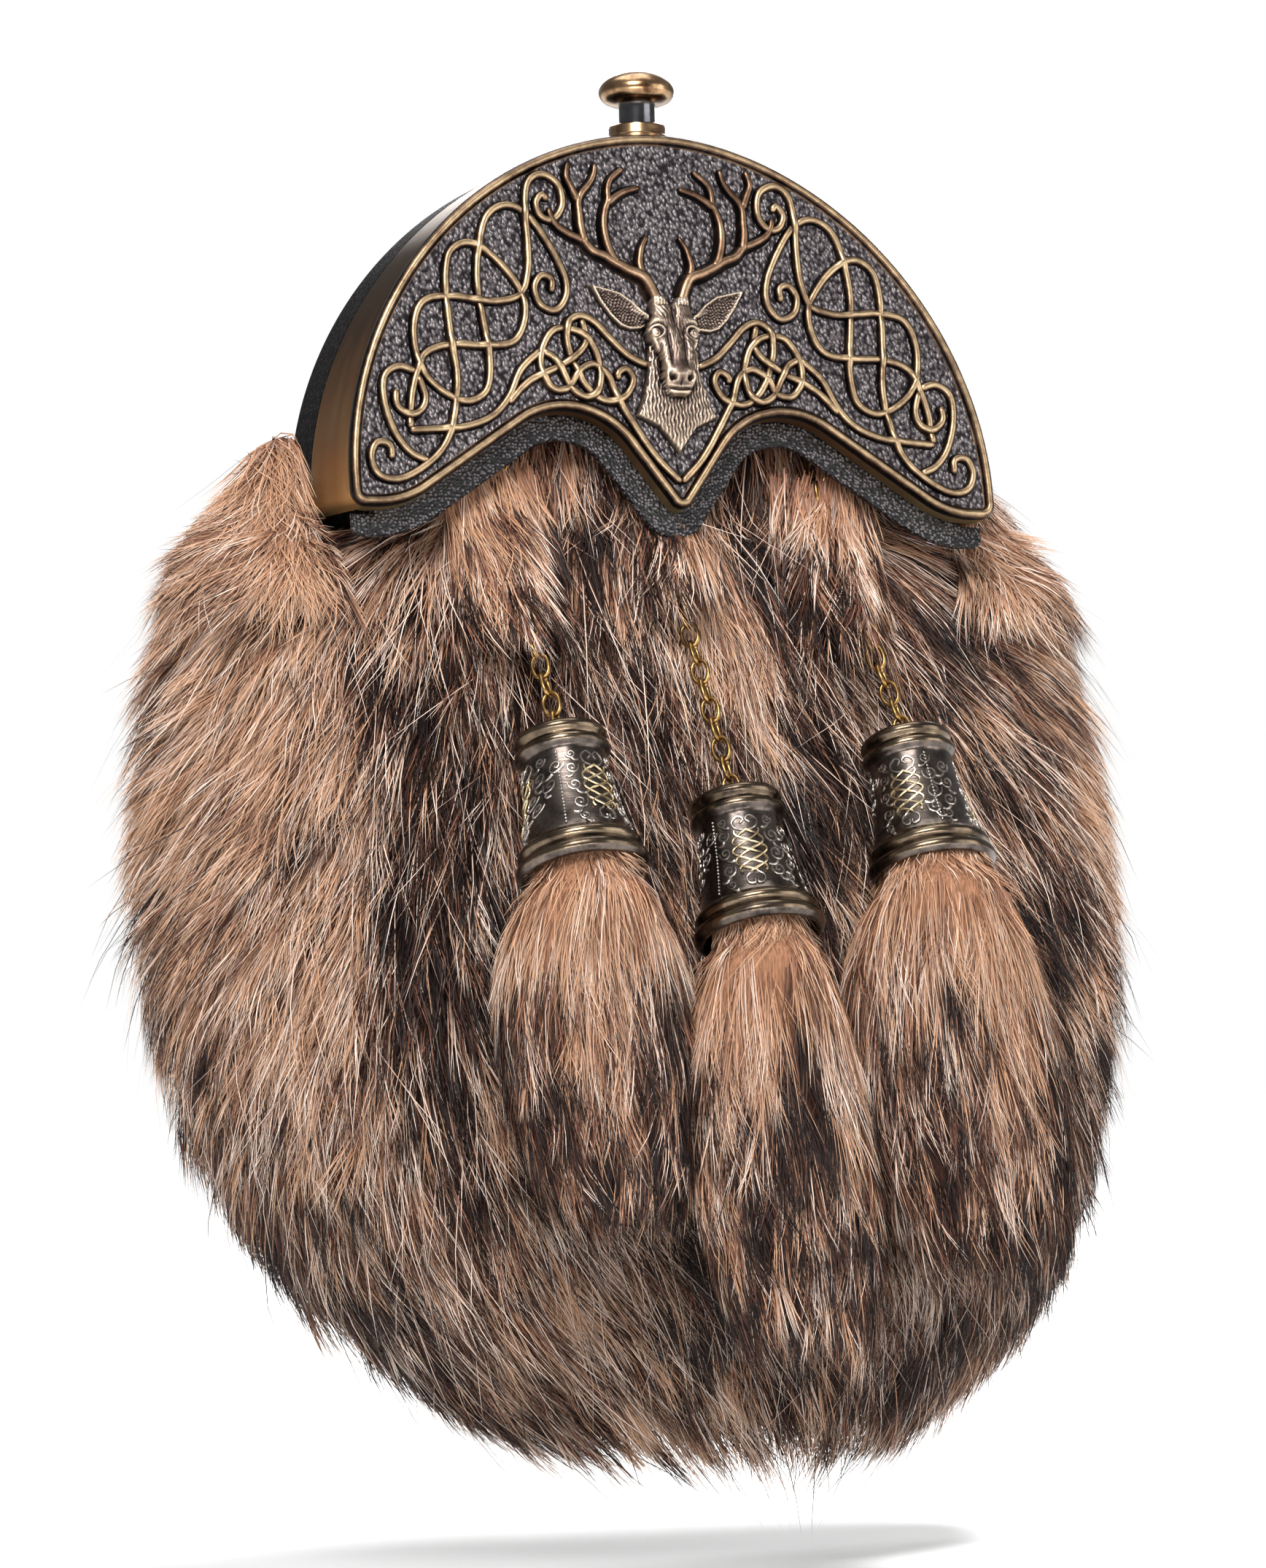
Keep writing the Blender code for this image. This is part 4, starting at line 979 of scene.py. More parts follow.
@dataclass
class FurBag:
    """The fur round the bag, in four fields of strands with shoulders and long guard hair."""

    tufts: int = 4100
    strands: int = 25
    edges: tuple[float, ...] = (-200.0, -52.0, -2.0, 46.0, 200.0)
    names: tuple[str, ...] = ("fur_left", "fur_middle_left", "fur_middle_right", "fur_right")
    wool_depth: float = 4.5
    lock_tufts: int = 190
    shoulder_tufts: int = 1000
    shoulder_foot: float = -12.0
    guard_tufts: int = 2600
    guard_strands: int = 3
    lock_lie: Lie = Lie(length=(13.0, 20.0), depth=3.0, lift=0.7, width=0.3)
    shoulder_lie: Lie = Lie(length=(13.0, 21.0), depth=3.0, lift=2.0, gather=0.2, spread=16.0)
    guard_lie: Lie = Lie(length=(22.0, 38.0), depth=4.0, lift=3.0, width=0.22, reach=9.0, gather=0.1,
                         cling=0.66, spread=12.0, stray=1.5, lock=1, kin=0.0)
    streaks: Streaks = field(default_factory=Streaks)

    def tone(self, places: Array) -> Array:
        """Darkness of the fur by its patches alone.

        Args:
            places: points of the working frame.

        Returns:
            Darkness from 0, pale, to 1, black.
        """
        dark = np.full(len(places), SHADE_BASE)
        for *form, tilt, weight in SHADE_PATCHES:
            spread = oval(places, *form, math.radians(tilt))
            dark += SHADE_STRENGTH * weight * np.exp(-spread * SHADE_EDGE)
        return dark

    def shade(self, places: Array, rng: Dice) -> Array:
        """Darkness of the fur's tufts.

        Args:
            places: points of the working frame.
            rng: source of the differences between tufts.

        Returns:
            Darkness from 0 to 1.
        """
        dark = self.tone(places)
        calm = np.interp(dark, (0.0, 0.3), (0.25, 1.0))
        uneven = self.streaks.read(places) + rng.normal(0.0, SHADE_JITTER, len(places))
        return dark + uneven * calm

    def shown(self, places: Array, low: float, high: float) -> Array:
        """Which tufts grow in one field: those that nothing hides.

        Args:
            places: points of the working frame.
            low: the field's left edge.
            high: its right edge.

        Returns:
            Whether each place is kept.
        """
        x, y, z = places.T
        hidden = (z > SHOULDER_ZONE[0]) & (y > SHOULDER_ZONE[1])
        for height, out in HIDDEN_ZONES:
            hidden |= (z > height) & (np.abs(x) > out)
        for spot in TASSEL_SPOTS:
            share = (spot.top[2] - BELL_LENGTH - z) / spot.drop
            aside = np.abs(x - (spot.top[0] + spot.drift * np.clip(share, 0.0, 1.0)))
            hidden |= (aside < TASSEL_HALF * spot.spread) & (share > TASSEL_SPAN[0]) & (
                share < TASSEL_SPAN[1])
        return (x >= low) & (x < high) & (z > FUR_FOOT) & ~hidden

    def low_tips(self, places: Array) -> Array:
        """Share of their length that strands keep near the bag's foot."""
        return np.interp(places[:, 2], (-180.0, -150.0), (0.84, 1.0))

    def shoulder_comb(self, places: Array, side: float) -> Array:
        """Lie of the fur on a shoulder, which parts along the band."""
        return (np.interp(places[:, 2], (-15.0, 10.0), (30.0, 58.0)) * side
                * np.interp(np.abs(places[:, 0]), (67.0, 80.0), (-0.4, 1.0)))

    def build(self, hair: Material, felt: Material) -> None:
        """Lay the underwool and grow the fields, the chains' locks, the shoulders and the guard hair.

        Args:
            hair: what covers the strands.
            felt: what covers the underwool.
        """
        coat = bag_coat()
        sparse = coat.thinned(2)
        level = sparse.points[..., 2]
        lay_underwool("fur_underwool", sparse, self.wool_depth, self.tone(sparse.points.reshape(-1, 3)),
                      (level < WOOL_SPAN[1]) & (level > WOOL_SPAN[0]), "fur_coat", felt)
        for i, name in enumerate(self.names):
            Pelt(name, coat, self.shade, fur_comb, self.tufts, self.strands, Lie(), i,
                 lambda p, ends=self.edges[i:i + 2]: self.shown(p, *ends), self.low_tips).grow(hair)
        for order, (name, middle, end) in enumerate(CHAIN_LOCKS):
            Pelt(name, lock_coat(middle), self.shade, fur_comb, self.lock_tufts, self.strands, self.lock_lie,
                 16 + order, lambda p, end=end: p[:, 2] > end).grow(hair)
        for side, name in ((-1.0, "fur_shoulder_left"), (1.0, "fur_shoulder_right")):
            Pelt(name, shoulder_coat(side), self.shade,
                 lambda p, side=side: self.shoulder_comb(p, side), self.shoulder_tufts,
                 self.strands, self.shoulder_lie, 8 + int(side),
                 lambda p: p[:, 2] > self.shoulder_foot).grow(hair)
        Pelt("fur_guard_hair", coat, lambda p, rng: rng.choice((0.1, 0.9), len(p), p=(0.6, 0.4)),
             fur_comb, self.guard_tufts, self.guard_strands, self.guard_lie, 12,
             lambda p: self.shown(p, self.edges[0], self.edges[-1]), self.low_tips,
             sorts=GUARD_SHARES).grow(hair)


# The way out of the plate in the working frame
PLATE_OUT = (0.0, -RISE, LEAN)


@dataclass(frozen=True)
class CastFinish:
    """Antique brass casting: black patina in the hollows, buffed back to gold on what stands up.

    The height over the plate's field picks the colour, so cords and beads stand gold and hollows stay dark
    with patina; faces turned to the front also get a painted highlight, and side walls painted shade.
    """

    name: str
    hollow: str = "#1c1818"
    slope: str = "#5c4838"
    crest: str = "#a08a6c"
    low: float = 0.0
    high: float = 1.35
    roughness: float = 0.37
    grain_mm: float = 0.5
    relief_mm: float = 0.05

    def make(self) -> Material:
        """Build the material.

        Returns:
            The material.
        """
        skin = Surfacing(self.name, self.roughness, 1.0)
        # The plate's field lies at this distance from the hanging point, along the plate's normal
        field_at = (HANG_POINT[1] * RISE - HANG_POINT[2] * LEAN) * MM
        out = skin.add("VectorMath", {"operation": "DOT_PRODUCT", 0: skin.place, 1: PLATE_OUT})["Value"]
        height = skin.add("MapRange", {"From Min": field_at + self.low * MM,
                                       "From Max": field_at + self.high * MM, "Value": out})["Result"]
        # Side walls give 0 and crests 1: faces turned to the front, where the light falls, get a painted
        # highlight, and side walls get painted shade
        painted_light_facing = skin.add("VectorMath", {"operation": "DOT_PRODUCT", 1: PLATE_OUT,
                                         0: skin.add("NewGeometry", {})["Normal"]})["Value"]
        facing = skin.add("MapRange", {"From Min": 0.55, "From Max": 1.0, "Value": painted_light_facing})["Result"]
        wear = skin.add("TexNoise", {"Scale": 0.3 / (self.grain_mm * MM), "Detail": 5.0,
                                     "Roughness": 0.6, "Vector": skin.place})["Fac"]
        patch = skin.add("TexNoise", {"Scale": 0.06 / (self.grain_mm * MM), "Vector": skin.place})["Fac"]
        mixed = skin.add("Math", {"operation": "ADD", 0: wear, 1: patch})["Value"]
        worn = skin.add("Math", {"operation": "MULTIPLY_ADD", 0: mixed, 1: 0.8, 2: -0.82})["Value"]
        raised = skin.add("Math", {"operation": "MULTIPLY_ADD", 0: height, 1: 0.5, 2: worn})["Value"]
        tone = skin.add("Math", {"operation": "MULTIPLY_ADD", 0: facing, 1: 0.5, 2: raised})["Value"]
        stops = ((0.08, self.hollow), (0.55, self.slope), (1.0, self.crest))
        colour = skin.add("ValToRGB", {"stops": stops, "Fac": tone})["Color"]
        return skin.cover(colour, height=wear, relief_mm=self.relief_mm)


@dataclass(frozen=True)
class PatinaFinish:
    """Finely modelled brass: patina sits in every fold, and each ridge is rubbed to pale gold.

    The folds are stored on the relief's own points, since they are finer than its height tells.
    """

    name: str = "rubbed_brass_stag"
    roughness: float = 0.4
    speck_mm: float = 0.35
    relief_mm: float = 0.02

    def make(self) -> Material:
        """Build the material.

        Returns:
            The material.
        """
        skin = Surfacing(self.name, self.roughness, 1.0)
        fold = skin.add("VertexColor", {"layer_name": "patina"})["Color"]
        speck = skin.add("TexNoise", {"Scale": 1.0 / (self.speck_mm * MM), "Vector": skin.place})["Fac"]
        return skin.cover(fold, height=speck, relief_mm=self.relief_mm)


def pebble_grain(skin: Surfacing, cells: dict, fine: dict, weight: float) -> Socket:
    """Height of pebbles with a finer grain over them.

    Args:
        skin: the material that is being made.
        cells: settings of the pebbles' pattern.
        fine: settings of the finer grain's noise.
        weight: how much the finer grain counts.

    Returns:
        The height's output.
    """
    pebble = skin.add("TexVoronoi", cells)["Distance"]
    speck = skin.add("TexNoise", fine | {"Vector": skin.place})["Fac"]
    raised = skin.add("MapRange", {"From Min": 0.1, "From Max": 0.8, "To Min": 1.0, "To Max": 0.0,
                                   "Value": pebble})["Result"]
    return skin.add("Math", {"operation": "MULTIPLY_ADD", 0: speck, 1: weight, 2: raised})["Value"]


@dataclass(frozen=True)
class HammeredFinish:
    """Field of the casting: small punched pebbles under grey patina, rubbed bright on their tops."""

    name: str = "hammered_patinated_field"
    roughness: float = 0.44
    pebble_mm: float = 0.75
    relief_mm: float = 0.2
    hollow: str = "#262224"
    middle: str = "#5a5556"
    top: str = "#857e7e"

    def make(self) -> Material:
        """Build the material.

        Returns:
            The material.
        """
        skin = Surfacing(self.name, self.roughness, 1.0)
        pebble = self.pebble_mm * MM
        bend = skin.add("TexNoise", {"Scale": 0.7 / pebble, "Detail": 3.0, "Vector": skin.place})["Color"]
        pushed = skin.add("VectorMath", {"operation": "MULTIPLY_ADD", 0: bend, 1: (0.9 * MM,) * 3,
                                         2: skin.place})["Vector"]
        drawn = skin.add("Mapping", {"Scale": (1.2, 1.0, 0.75), "Rotation": (0.0, 0.5, 0.0),
                                     "Vector": pushed})["Vector"]
        grain = pebble_grain(skin, {"feature": "SMOOTH_F1", "Scale": 1.0 / pebble, "Smoothness": 0.6,
                                    "Vector": drawn}, {"Scale": 2.0 / pebble, "Detail": 2.0}, 0.14)
        stops = ((0.25, self.hollow), (0.7, self.middle), (1.0, self.top))
        colour = skin.add("ValToRGB", {"stops": stops, "Fac": grain})["Color"]
        return skin.cover(colour, height=grain, relief_mm=self.relief_mm)


@dataclass(frozen=True)
class TurnedFinish:
    """Turned or rolled metal under a soft patina, with fine lines left by the tool."""

    name: str
    dark: str
    light: str
    roughness: float = 0.28
    line_mm: float = 0.3
    stretch: Triple = (0.08, 0.08, 1.0)
    patch_mm: float = 7.0
    relief_mm: float = 0.012

    def make(self) -> Material:
        """Build the material.

        Returns:
            The material.
        """
        skin = Surfacing(self.name, self.roughness, 1.0)
        cloud = skin.add("TexNoise", {"Scale": 1.0 / (self.patch_mm * MM), "Detail": 5.0,
                                      "Roughness": 0.6, "Vector": skin.place})["Fac"]
        stops = ((0.3, self.dark), (0.72, self.light))
        colour = skin.add("ValToRGB", {"stops": stops, "Fac": cloud})["Color"]
        drawn = skin.add("Mapping", {"Scale": self.stretch, "Vector": skin.place})["Vector"]
        line = skin.add("TexNoise", {"Scale": 1.0 / (self.line_mm * MM), "Detail": 2.0,
                                     "Vector": drawn})["Fac"]
        gloss = skin.add("MapRange", {"To Min": self.roughness + 0.12, "To Max": self.roughness - 0.06,
                                      "Value": cloud})["Result"]
        return skin.cover(colour, {"Roughness": gloss}, line, self.relief_mm)


@dataclass(frozen=True)
class BandFinish:
    """Satin bronze of the side band, coloured with a painted reflection: light and warm by its feet, and
    painted shade almost black over the arch.
    """

    name: str = "bronze_band_painted_reflection"
    roughness: float = 0.33
    cloud_mm: float = 5.0
    relief_mm: float = 0.015
    # Heights in the working frame, as shares of the arch, and their colours: painted reflection low down,
    # painted shade over the arch
    painted_light_tones: tuple[tuple[float, str], ...] = (
        (0.0, "#d0b98a"), (0.14, "#b3906b"), (0.3, "#8a684f"), (0.46, "#33251d"), (0.56, "#0d0a08"),
    )
    edge: tuple[float, float, float, float] = (0.62, 0.5, 0.42, 1.0)

    def make(self) -> Material:
        """Build the material.

        Returns:
            The material.
        """
        skin = Surfacing(self.name, self.roughness, 1.0)
        # Colour follows height alone: a painted reflection by the feet and painted shade over the arch
        height = skin.add("SeparateXYZ", {"Vector": skin.place})["Z"]
        share = skin.add("MapRange", {"From Min": -HANG_POINT[2] * MM,
                                      "From Max": (ARCH_FOOT + ARCH_RISE - HANG_POINT[2]) * MM,
                                      "Value": height})["Result"]
        drawn = skin.add("Mapping", {"Scale": (0.25, 1.0, 0.25), "Vector": skin.place})["Vector"]
        cloud = skin.add("TexNoise", {"Scale": 1.0 / (self.cloud_mm * MM), "Detail": 5.0,
                                      "Vector": drawn})["Fac"]
        uneven = skin.add("Math", {"operation": "MULTIPLY_ADD", 0: cloud, 1: 0.2, 2: -0.1})["Value"]
        tone = skin.add("Math", {"operation": "ADD", 0: share, 1: uneven})["Value"]
        colour = skin.add("ValToRGB", {"stops": self.painted_light_tones, "Fac": tone})["Color"]
        return skin.cover(colour, {"Specular Tint": self.edge}, cloud, self.relief_mm)


@dataclass(frozen=True)
class LeatherFinish:
    """Chrome tanned cowhide, dyed black and plated with a pebble grain; each pebble's top carries a painted
    glint in the lighter colour.
    """

    name: str
    hollow: str = "#080708"
    top: str = "#686265"
    pebble_mm: float = 0.68
    relief_mm: float = 0.25
    roughness: float = 0.3
    gloss: float = 0.2

    def make(self) -> Material:
        """Build the material.

        Returns:
            The material.
        """
        skin = Surfacing(self.name, self.roughness)
        pebble = self.pebble_mm * MM
        grain = pebble_grain(skin, {"feature": "F1", "Scale": 1.0 / pebble, "Randomness": 0.75,
                                    "Vector": skin.place}, {"Scale": 3.0 / pebble, "Detail": 3.0}, 0.25)
        # The lighter top colour is a painted glint on each pebble, over the black of the hollows
        stops = ((0.6, self.hollow), (1.15, self.top))
        colour = skin.add("ValToRGB", {"stops": stops, "Fac": grain})["Color"]
        return skin.cover(colour, {"Specular IOR Level": self.gloss}, grain, self.relief_mm)


# Corners of the scalloped edge, right half: across, up, fillet radius
SCALLOP_CORNERS = ((0.0, -1.7, 2.4), (19.0, 24.7, 15.5), (56.3, -0.8, 18.0), (66.8, -0.8, 3.0))
PLATE_HALF_WIDTH = 66.8
ARCH_FOOT = 5.0
ARCH_RISE = 70.0
ARCH_POWER = 1.92
ARCH_STEPS = 150
FILLET_STEP = math.radians(5.0)
LIP_DEPTH = 3.8
GAP = 0.35


def rounded_path(corners: Rows) -> Array:
    """Points of a polyline whose inner corners are filleted.

    Args:
        corners: across, up and radius of each corner, with 0 for a sharp one.

    Returns:
        Points of across and up.
    """
    points = [Vector(corners[0][:2])]
    for before, here, after in zip(corners, corners[1:], corners[2:]):
        corner = Vector(here[:2])
        into = (corner - Vector(before[:2])).normalized()
        out = (Vector(after[:2]) - corner).normalized()
        turn = math.atan2(into.x * out.y - into.y * out.x, into.dot(out))
        reach = here[2] * math.tan(abs(turn) / 2)
        side = Vector((-into.y, into.x)) * math.copysign(1.0, turn)
        start = corner - into * reach
        centre = start + side * here[2]
        steps = max(3, math.ceil(abs(turn) / FILLET_STEP))
        points += [centre + Matrix.Rotation(turn * k / steps, 2) @ (start - centre)
                   for k in range(steps + 1)]
    points.append(Vector(corners[-1][:2]))
    return np.array(points)


def scallop_path() -> Array:
    """The scalloped edge from the left side to the right side of the plate."""
    half = [*SCALLOP_CORNERS, (PLATE_HALF_WIDTH, ARCH_FOOT, 0.0)]
    return rounded_path([(-x, z, r) for x, z, r in reversed(half[1:])] + half)


def arch_path() -> Array:
    """The arch from the right foot over the top to the left foot, feet left out.

    Returns:
        Points of across and up.
    """
    turn = np.linspace(0.0, math.pi, ARCH_STEPS + 1)[1:-1]
    across = np.sign(np.cos(turn)) * np.abs(np.cos(turn)) ** (2 / ARCH_POWER)
    up = np.sin(turn) ** (2 / ARCH_POWER)
    return np.stack((PLATE_HALF_WIDTH * across, ARCH_FOOT + ARCH_RISE * up), axis=-1)


def inset(outline: Array, distance: float) -> Array:
    """Move an anticlockwise outline inwards.

    Args:
        outline: its points.
        distance: how far it moves, outwards where it is negative.

    Returns:
        The moved points.
    """
    into = unit(outline - np.roll(outline, 1, axis=0))
    out = unit(np.roll(outline, -1, axis=0) - outline)
    normal = unit(np.stack((-(into[:, 1] + out[:, 1]), into[:, 0] + out[:, 0]), axis=-1))
    facing = np.stack((-into[:, 1], into[:, 0]), axis=-1)
    stretch = np.maximum(0.5, (normal * facing).sum(axis=1))
    return outline + normal * (distance / stretch)[:, None]


# Routes of the cords on the left half, in millimetres on the plate: across, up
KNOT_ROUTES = {
    "outer_lattice": (
        (-58.5, 8), (-58.8, 11), (-61.5, 11.2), (-62.6, 8), (-60.8, 4.8), (-56.5, 4.6), (-50.8, 8),
        (-47.2, 12.3), (-45.2, 18.5), (-44.4, 25), (-45.1, 32), (-45.5, 40), (-45.3, 45.5), (-44, 49.5),
        (-40.5, 51.3), (-36.5, 49.6), (-32.5, 45.6), (-29.9, 41), (-30, 36.2), (-32.5, 32), (-37.7, 31),
        (-45, 31), (-50.3, 29.2), (-52.3, 25.5), (-53.8, 20.5), (-54.5, 14),
    ),
    "lattice_foot": (
        (-54.9, 13.9), (-49.3, 14.3), (-43.1, 15), (-37.8, 17.2), (-34.2, 21.1), (-31.4, 26.5), (-27, 30.5),
    ),
    "inner_lattice": (
        (-23.5, 60.2), (-24.6, 61.6), (-26, 59.6), (-24.8, 57), (-22.4, 56.8), (-20.5, 59.8), (-21.2, 64),
        (-24.5, 65.7), (-27.4, 63.7), (-28.3, 58), (-28.2, 51.5), (-28.6, 46), (-30.6, 41.3), (-36.5, 39.8),
        (-44.5, 40.5), (-50.3, 39.2), (-52.5, 34), (-52, 27.6), (-49.5, 23.4), (-45.4, 20.6), (-41.8, 20),
        (-38.5, 22.5), (-37.6, 28.5), (-38.4, 36), (-39.1, 43.5), (-38.3, 50.4), (-36.3, 56.6),
        (-32.5, 59.1), (-28.5, 57.9), (-24.8, 53.2), (-21.5, 46.6), (-21, 41.8), (-23.4, 38.5),
        (-26.5, 39.6), (-27.5, 42.8), (-26, 45.3), (-23.9, 44.7), (-24.1, 41.8),
    ),
    "heart_outer": (
        (-52.5, 25.3), (-56, 26.3), (-59, 24.2), (-59.3, 19.2), (-57.5, 13.3), (-54.5, 9.5), (-51.1, 8),
    ),
    "heart_inner": (
        (-52.3, 24.8), (-51.1, 20.6), (-52, 18), (-54.4, 16.9), (-56.9, 18.9), (-56.8, 22),
    ),
    "neck_cord": (
        (-5, 28), (-9, 29.9), (-12.5, 33.2), (-15.6, 36.4), (-18.6, 37.6), (-21.1, 36), (-21.5, 32),
        (-20.2, 27.5), (-18, 23.4), (-14.6, 20.9), (-10.7, 21.6), (-8.5, 24.9), (-9.6, 27.3), (-11.6, 26.3),
        (-11.2, 24.9),
    ),
    "small_knot": (
        (-27, 30.5), (-24.4, 29), (-22.6, 26), (-21, 23), (-18.3, 21.5), (-15.8, 23), (-15.1, 27.5),
        (-16.6, 32.3), (-19.8, 34.7), (-24, 34.6), (-26.7, 31), (-27.2, 26.6), (-25, 23), (-21.9, 23.2),
        (-19.6, 26.5), (-16.5, 28.1), (-13.7, 26.2), (-12, 21.6), (-8.8, 16), (-4.8, 9.9), (0, 4.9),
    ),
    "knot_tie": (
        (-34.5, 19.6), (-31.6, 22.8), (-29, 24.8), (-24.5, 26.9), (-20, 29.6), (-17.6, 32.7), (-18.3, 37),
    ),
}

# Antlers, right half: points of across and up, then widths at root and tip
ANTLER_TINES = {
    "beam": (((2.4, 40.8), (3.9, 44.4), (5.1, 46), (7.7, 47), (10.4, 48.4), (12.4, 49.6), (14.9, 50.6),
        (16.7, 52.5), (19.4, 53.7), (21.7, 55.1), (23, 56.9), (23.5, 59)), 2.2, 1.1),
    "brow_tine": (((4.8, 45.6), (5.4, 48), (5.2, 49.8), (4.6, 52), (3.2, 54.4)), 1.8, 0.8),
    "bay_tine": (((10, 48), (11.2, 49.9), (12.1, 53.1), (12.3, 56.2), (11.8, 59), (11, 61),
        (10.9, 63.2), (10.2, 65.2), (8.4, 66.9), (7.2, 67.8)), 1.85, 0.95),
    "bay_fork": (((11.3, 60.2), (9.2, 61.9), (7, 63.1), (3.9, 64)), 1.6, 0.95),
    "tray_tine": (((16.5, 51.8), (17.1, 55), (17.2, 58), (17.2, 60.3), (16.4, 62.2), (14.8, 64),
        (13.6, 66), (13, 68.6)), 1.85, 0.95),
    "tray_fork": (((17.2, 60.4), (18.5, 63.4), (19.3, 65.6), (18.6, 68.6)), 1.6, 0.95),
}

# Outlines of the stag's neck, head and ear, right half: across, up
NECK_OUTLINE = (
    (0, 10.4), (1.9, 13), (3.9, 15.6), (5.8, 16.5), (8.5, 17.9), (7.5, 20.2), (6.8, 22.3), (6, 25),
    (5.6, 27.2), (5.3, 30.8), (5, 35), (0, 37),
)
HEAD_OUTLINE = (
    (0, 21), (1.4, 21.1), (2.5, 21.9), (3.1, 23.2), (3.45, 24.4), (3.6, 25.6), (3.4, 26.9), (3.5, 28.4),
    (3.95, 30), (4.7, 31.6), (5.4, 33.2), (5.7, 34.8), (5.3, 36.3), (4.5, 37.6), (4.15, 39.2), (4.15, 40.8),
    (4, 41.8), (3.2, 42.3), (1.4, 41.9), (0.6, 40.8), (0, 40.4),
)
EAR_OUTLINE = (
    (4.4, 35.8), (6.2, 35.1), (8.4, 34.9), (10.4, 35.6), (12.4, 37.5), (14.4, 40.3), (16.4, 44), (14, 43.6),
    (10, 42.6), (7.4, 40.8), (5.4, 38.8), (4.4, 38.2),
)
# Crown of the face along its middle: up, height over the field
FACE_PROFILE = (
    (21, 2.8), (22, 3.8), (23, 4.2), (23.6, 4.2), (24.2, 4.6), (25.4, 5), (26.8, 4.9), (28.4, 4.4),
    (30.5, 4.1), (33, 3.8), (36, 3.4), (39, 3), (42.3, 2.4),
)
# The face at its outline: up, height, distance over which it domes
FACE_EDGE = (
    (21, 2.2, 1.8), (23, 2.9, 2), (28, 3, 2.2), (30.5, 2.4, 2.4), (34.5, 2.1, 2.4), (42, 1.5, 1.8),
)
# Soft rises and pits of the face: across, up, half width, half height, height
FACE_FORMS = (
    (3.8, 36.5, 1.7, 0.7, 0.65), (4.05, 34.1, 1.6, 1.4, -0.95), (4.8, 31.9, 0.7, 0.8, 0.3),
    (1.8, 24.8, 0.55, 0.55, -1.1), (2.3, 25.4, 0.35, 0.5, -0.6), (2.9, 24.8, 0.45, 0.9, 0.4),
    (0, 25.6, 2.4, 1.1, 0.45), (1.3, 26.2, 0.8, 0.4, 0.2), (0.9, 24.6, 0.35, 0.8, 0.2),
    (0, 23.9, 0.24, 0.6, -0.4), (0, 22, 2, 0.5, 0.35), (0, 38.6, 0.5, 2.4, -0.75),
    (2, 38.2, 1.2, 2.2, 0.35), (2.5, 41, 1.2, 0.8, 0.5), (3.6, 29.4, 0.36, 2.6, -0.6),
    (1.65, 33, 0.3, 2.2, -0.5), (1.55, 29.4, 0.28, 2, -0.5), (0, 31, 0.8, 4.5, 0.35),
    (2.6, 39.8, 1.3, 0.2, -0.3), (2.6, 30.6, 0.5, 2, 0.2),
)
EYE_SPOT = (4.05, 34.1)
MOUTH_Z = 22.75


